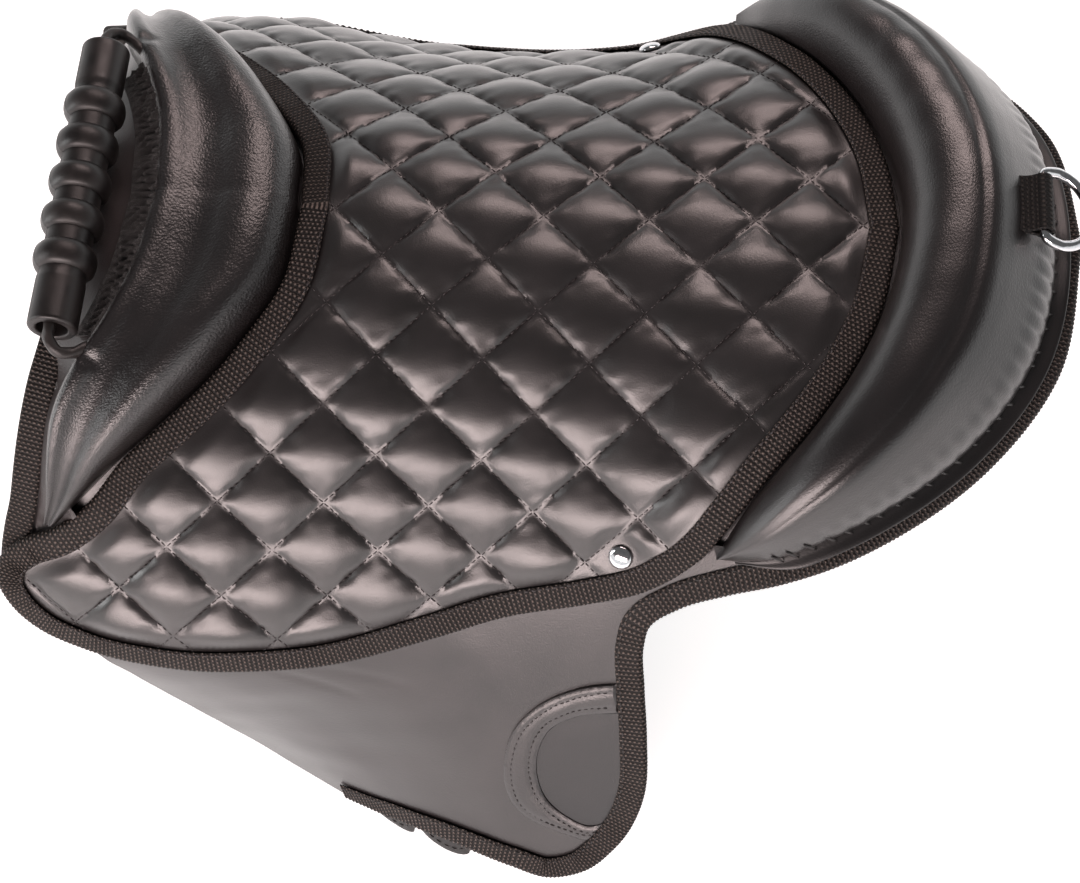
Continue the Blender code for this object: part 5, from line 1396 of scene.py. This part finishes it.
def build_panels(finish):
    """Padded panels under the skirt, rounded at their edges and lined with fleece-backed cloth.

    The upper and lower faces close towards the middle height over the last 14 mm as a quarter
    ellipse, and soft swells are laid on the underside.
    """
    radius = np.array(CANTLE_OUTER[4:0:-1]) + SKIRT_MARGIN - PANEL_MARGIN
    rear = round_centre(np.array(CANTLE_ANGLES[4:0:-1]), radius)
    rear = np.concatenate([PANEL_REAR, rear, [(rear[-1, 0] + 0.007, -SPINE_GAP / 2)]])
    front = np.array(PANEL_FRONT)
    front[0, 1] = -SPINE_GAP / 2
    near = np.concatenate([curve(front, 0.005), curve(rear, 0.005)[:-1]])
    gap = np.linspace(0.0, 1.0, 50)[:-1, None]
    near = np.concatenate([near, np.array((rear[-1, 0], -SPINE_GAP / 2)) * (1 - gap) + near[0] * gap])
    near = near[np.linalg.norm(near - np.roll(near, 1, 0), axis=1) > 0.0008]
    for side, word in HANDS:
        outline = near if side < 0 else mirrored(near)

        def top(x, s):
            step = smooth((np.abs(s) - PANEL_STEP_START) / (PANEL_STEP_END - PANEL_STEP_START))
            full = PANEL_TOP + (PANEL_LOW_TOP - PANEL_TOP) * step
            return seam_height(outline, x, s, full, 0.0012)

        def bottom(x, s):
            swell = 0.0008 * (1.0 + ripple(x, s, 0.0, 81, 0.060)) * 0.5
            return seam_height(outline, x, s, PANEL_BOTTOM + swell, -0.0012)

        made = laid_sheet(f"panel_lining_{word}", [outline], 0.004, top, bottom, finish["lining"], True, 0.0045)
        dress(made, "saddle", "panel_lining", f"panel_{word}")


def seam_height(outline, x, s, full, seam):
    """Height that leaves a pad's edge seam as a quarter ellipse and reaches its full value."""
    middle = (PANEL_LOW_TOP + PANEL_BOTTOM) / 2 + seam
    share = np.clip(distance_to(outline, x, s) / 0.014, 0.0, 1.0)
    return middle + (full - middle) * np.sqrt(1.0 - (1.0 - share) ** 2)


def aim(made, target):
    """Turn a lamp so that it looks at a point."""
    made.rotation_mode = "QUATERNION"
    made.rotation_quaternion = (Vector(target) - made.location).to_track_quat("-Z", "Y")


def set_camera():
    """Camera at the photograph's place and angle."""
    turn, rise, roll = (math.radians(v) for v in (CAMERA_TURN, CAMERA_RISE, CAMERA_ROLL))
    right = Vector((math.cos(turn), math.sin(turn), 0.0))
    ahead = Vector((-math.sin(turn) * math.cos(rise), math.cos(turn) * math.cos(rise), -math.sin(rise)))
    up = right.cross(ahead)
    right, up = (right * math.cos(roll) + up * math.sin(roll), up * math.cos(roll) - right * math.sin(roll))
    data = bpy.data.cameras.new("camera")
    data.sensor_width, data.sensor_fit = SENSOR_WIDTH, "HORIZONTAL"
    data.lens = FOCAL_PIXELS * SENSOR_WIDTH / PHOTO_SIZE[0]
    data.clip_start, data.clip_end = 0.05, 50.0
    made = bpy.data.objects.new("camera", data)
    bpy.context.scene.collection.objects.link(made)
    made.matrix_world = Matrix.Translation(CAMERA_PLACE) @ Matrix((right, up, -ahead)).transposed().to_4x4()
    bpy.context.scene.camera = made


def soft_box(name, place, target, size, power, colour="#ffffff"):
    """Rectangular studio lamp aimed at a point."""
    data = bpy.data.lights.new(name, "AREA")
    data.shape = "RECTANGLE"
    data.size, data.size_y = size
    data.energy = power
    data.color = linear(colour)[:3]
    made = bpy.data.objects.new(name, data)
    bpy.context.scene.collection.objects.link(made)
    made.location = place
    aim(made, target)


def paper_sweep():
    """White paper sweep: matt paper, shown as white, that still takes the object's shadow."""
    made, tree, shader = new_material("white paper sweep", {"Base Color": linear("#f2f2f2"), "Roughness": 0.9,
                                                            "Emission Color": linear("#ffffff")})
    path = add(tree, "LightPath").node
    seen = add(tree, "Math", {0: path.outputs["Is Camera Ray"], 1: path.outputs["Is Glossy Ray"]},
               operation="MAXIMUM")
    seen = add(tree, "Math", {0: seen, 1: path.outputs["Is Transmission Ray"]}, operation="MAXIMUM")
    glow = add(tree, "Math", {0: seen, 1: FLOOR_GLOW}, operation="MULTIPLY")
    return wired(made, shader, {"Emission Strength": glow})


def set_studio():
    """White sweep and three soft boxes: a low one on the near side, one beyond and one in front.

    Rays from the camera and through clear pieces meet white. Glossy rays meet it only low down,
    and a dim room above, so that black leather stays black.
    """
    scene = bpy.context.scene
    scene.view_settings.view_transform = "Standard"
    world = bpy.data.worlds.new("studio")
    scene.world = world
    world.use_nodes = True
    tree = world.node_tree
    tree.nodes.clear()
    path = add(tree, "LightPath").node
    seen = add(tree, "Math", {0: path.outputs["Is Camera Ray"], 1: path.outputs["Is Transmission Ray"]},
               operation="MAXIMUM")
    height = add(tree, "SeparateXYZ", {"Vector": add(tree, "TexCoord")}, out="Z")
    walls = add(tree, "MapRange", {"Value": height, "From Min": WHITE_FULL, "From Max": WHITE_GONE,
                                   "To Min": 1.0, "To Max": 0.0})
    mirrored_white = add(tree, "Math", {0: path.outputs["Is Glossy Ray"], 1: walls}, operation="MULTIPLY")
    white = add(tree, "Math", {0: seen, 1: mirrored_white}, operation="MAXIMUM")
    level_light = add(tree, "MapRange", {"Value": path.outputs["Is Glossy Ray"], "To Min": ROOM_LIGHT,
                                         "To Max": GLOSSY_LIGHT})
    strength = add(tree, "Math", {0: level_light, 1: white}, operation="MAXIMUM")
    room = add(tree, "Background", {"Color": linear("#ffffff"), "Strength": strength})
    add(tree, "OutputWorld", {"Surface": room})
    soft_box("near_box", (-0.35, -1.30, 0.72), (0.0, -0.1, 0.2), (1.3, 0.42), 21.0, "#ffebe8")
    soft_box("far_box", (0.15, 0.95, 1.30), (0.0, 0.05, 0.2), (1.0, 0.35), 8.0, "#ffe6e2")
    soft_box("front_box", (-1.30, -0.30, 0.55), (-0.1, 0.0, 0.2), (0.3, 0.8), 4.0)
    corners = FLOOR_REACH * np.array(((-1.0, -1.0, 0.0), (1.0, -1.0, 0.0), (1.0, 1.0, 0.0), (-1.0, 1.0, 0.0)))
    fill_mesh("floor", corners, [np.array([[0, 1, 2, 3]])], paper_sweep())


def main():
    """Materials first, then the studio, and each piece of the saddle."""
    finish = {
        # Satin leather-cloth over wadding: near black, and its fine grain spreads the lamps' glare.
        "quilt": leather("satin leather-cloth, quilted", "#1b1818", "#262223", 0.36, 0.55, 0.07, 0.25, 1.0),
        # Leather-cloth of other grains: coarse and creased on the roll, smooth on the flaps.
        "pommel": leather("padded leather-cloth", "#151213", "#201c1d", 0.35, 1.1, 0.26, 0.7),
        "cantle": leather("padded leather-cloth, rear", "#151213", "#201c1d", 0.34, 0.8, 0.11, 0.4),
        "flap": leather("smooth leather-cloth", "#1d191a", "#2a2526", 0.36, 0.8, 0.07, 0.4),
        "patch": leather("stitched leather-cloth", "#1a1718", "#262122", 0.38, 0.8, 0.10, 0.5),
        "panel": leather("smooth grained leather-cloth", "#0f1012", "#17181b", 0.50, 0.7, 0.08, 0.3, 0.4),
        # The front leather is the same black leather-cloth painted lighter: a painted sheen where the lamps catch its
        # face.
        "face": leather("front leather-cloth with painted sheen", "#2d2828", "#3f3838", 0.42, 0.8, 0.12, 0.6),
        "strip": leather("cut leather-cloth strip", "#141213", "#1c191a", 0.40, 0.7, 0.06, 0.3, 0.3),
        "billet": leather("strap leather", "#110f0f", "#191616", 0.55, 0.8, 0.10, 0.4, 0.2),
        # Woven tape, thread, rubber, chrome and felt: ribs, a dull bead, dusty black, a mirror, fibres.
        # The tape's and webbing's paler colour is a painted highlight on the weave's crests.
        "tape": webbing("woven polypropylene tape", "#151211", "#766b65"),
        "tab": webbing("woven polypropylene webbing", "#0e0d0d", "#3d3835", 2.2, 2.2),
        "cord": sewing_thread("laid polyester cord", "#2a2625"),
        "thread": sewing_thread("grey sewing thread", "#342f30"),
        "dark_thread": sewing_thread("black sewing thread", "#1f1b1b"),
        "rubber": rubber("moulded rubber", "#171414", "#262120"),
        "chrome": chromed_steel("chromed steel"),
        "felt": felted("needled felt", "#131212", "#2c2a2a", 1.1),
        "lining": felted("fleece-backed lining cloth", "#1c1a1a", "#2c2929", 1.6),
    }
    set_camera()
    set_studio()
    build_seat(finish)
    sew_quilt(finish)
    build_seat_tape(finish)
    build_panels(finish)
    build_skirt_and_flaps(finish)
    build_thigh_patches(finish)
    build_pommel(finish)
    build_cantle(finish)
    build_handle(finish)
    build_ring(finish)
    build_rivets(finish)
    build_webs(finish)


main()
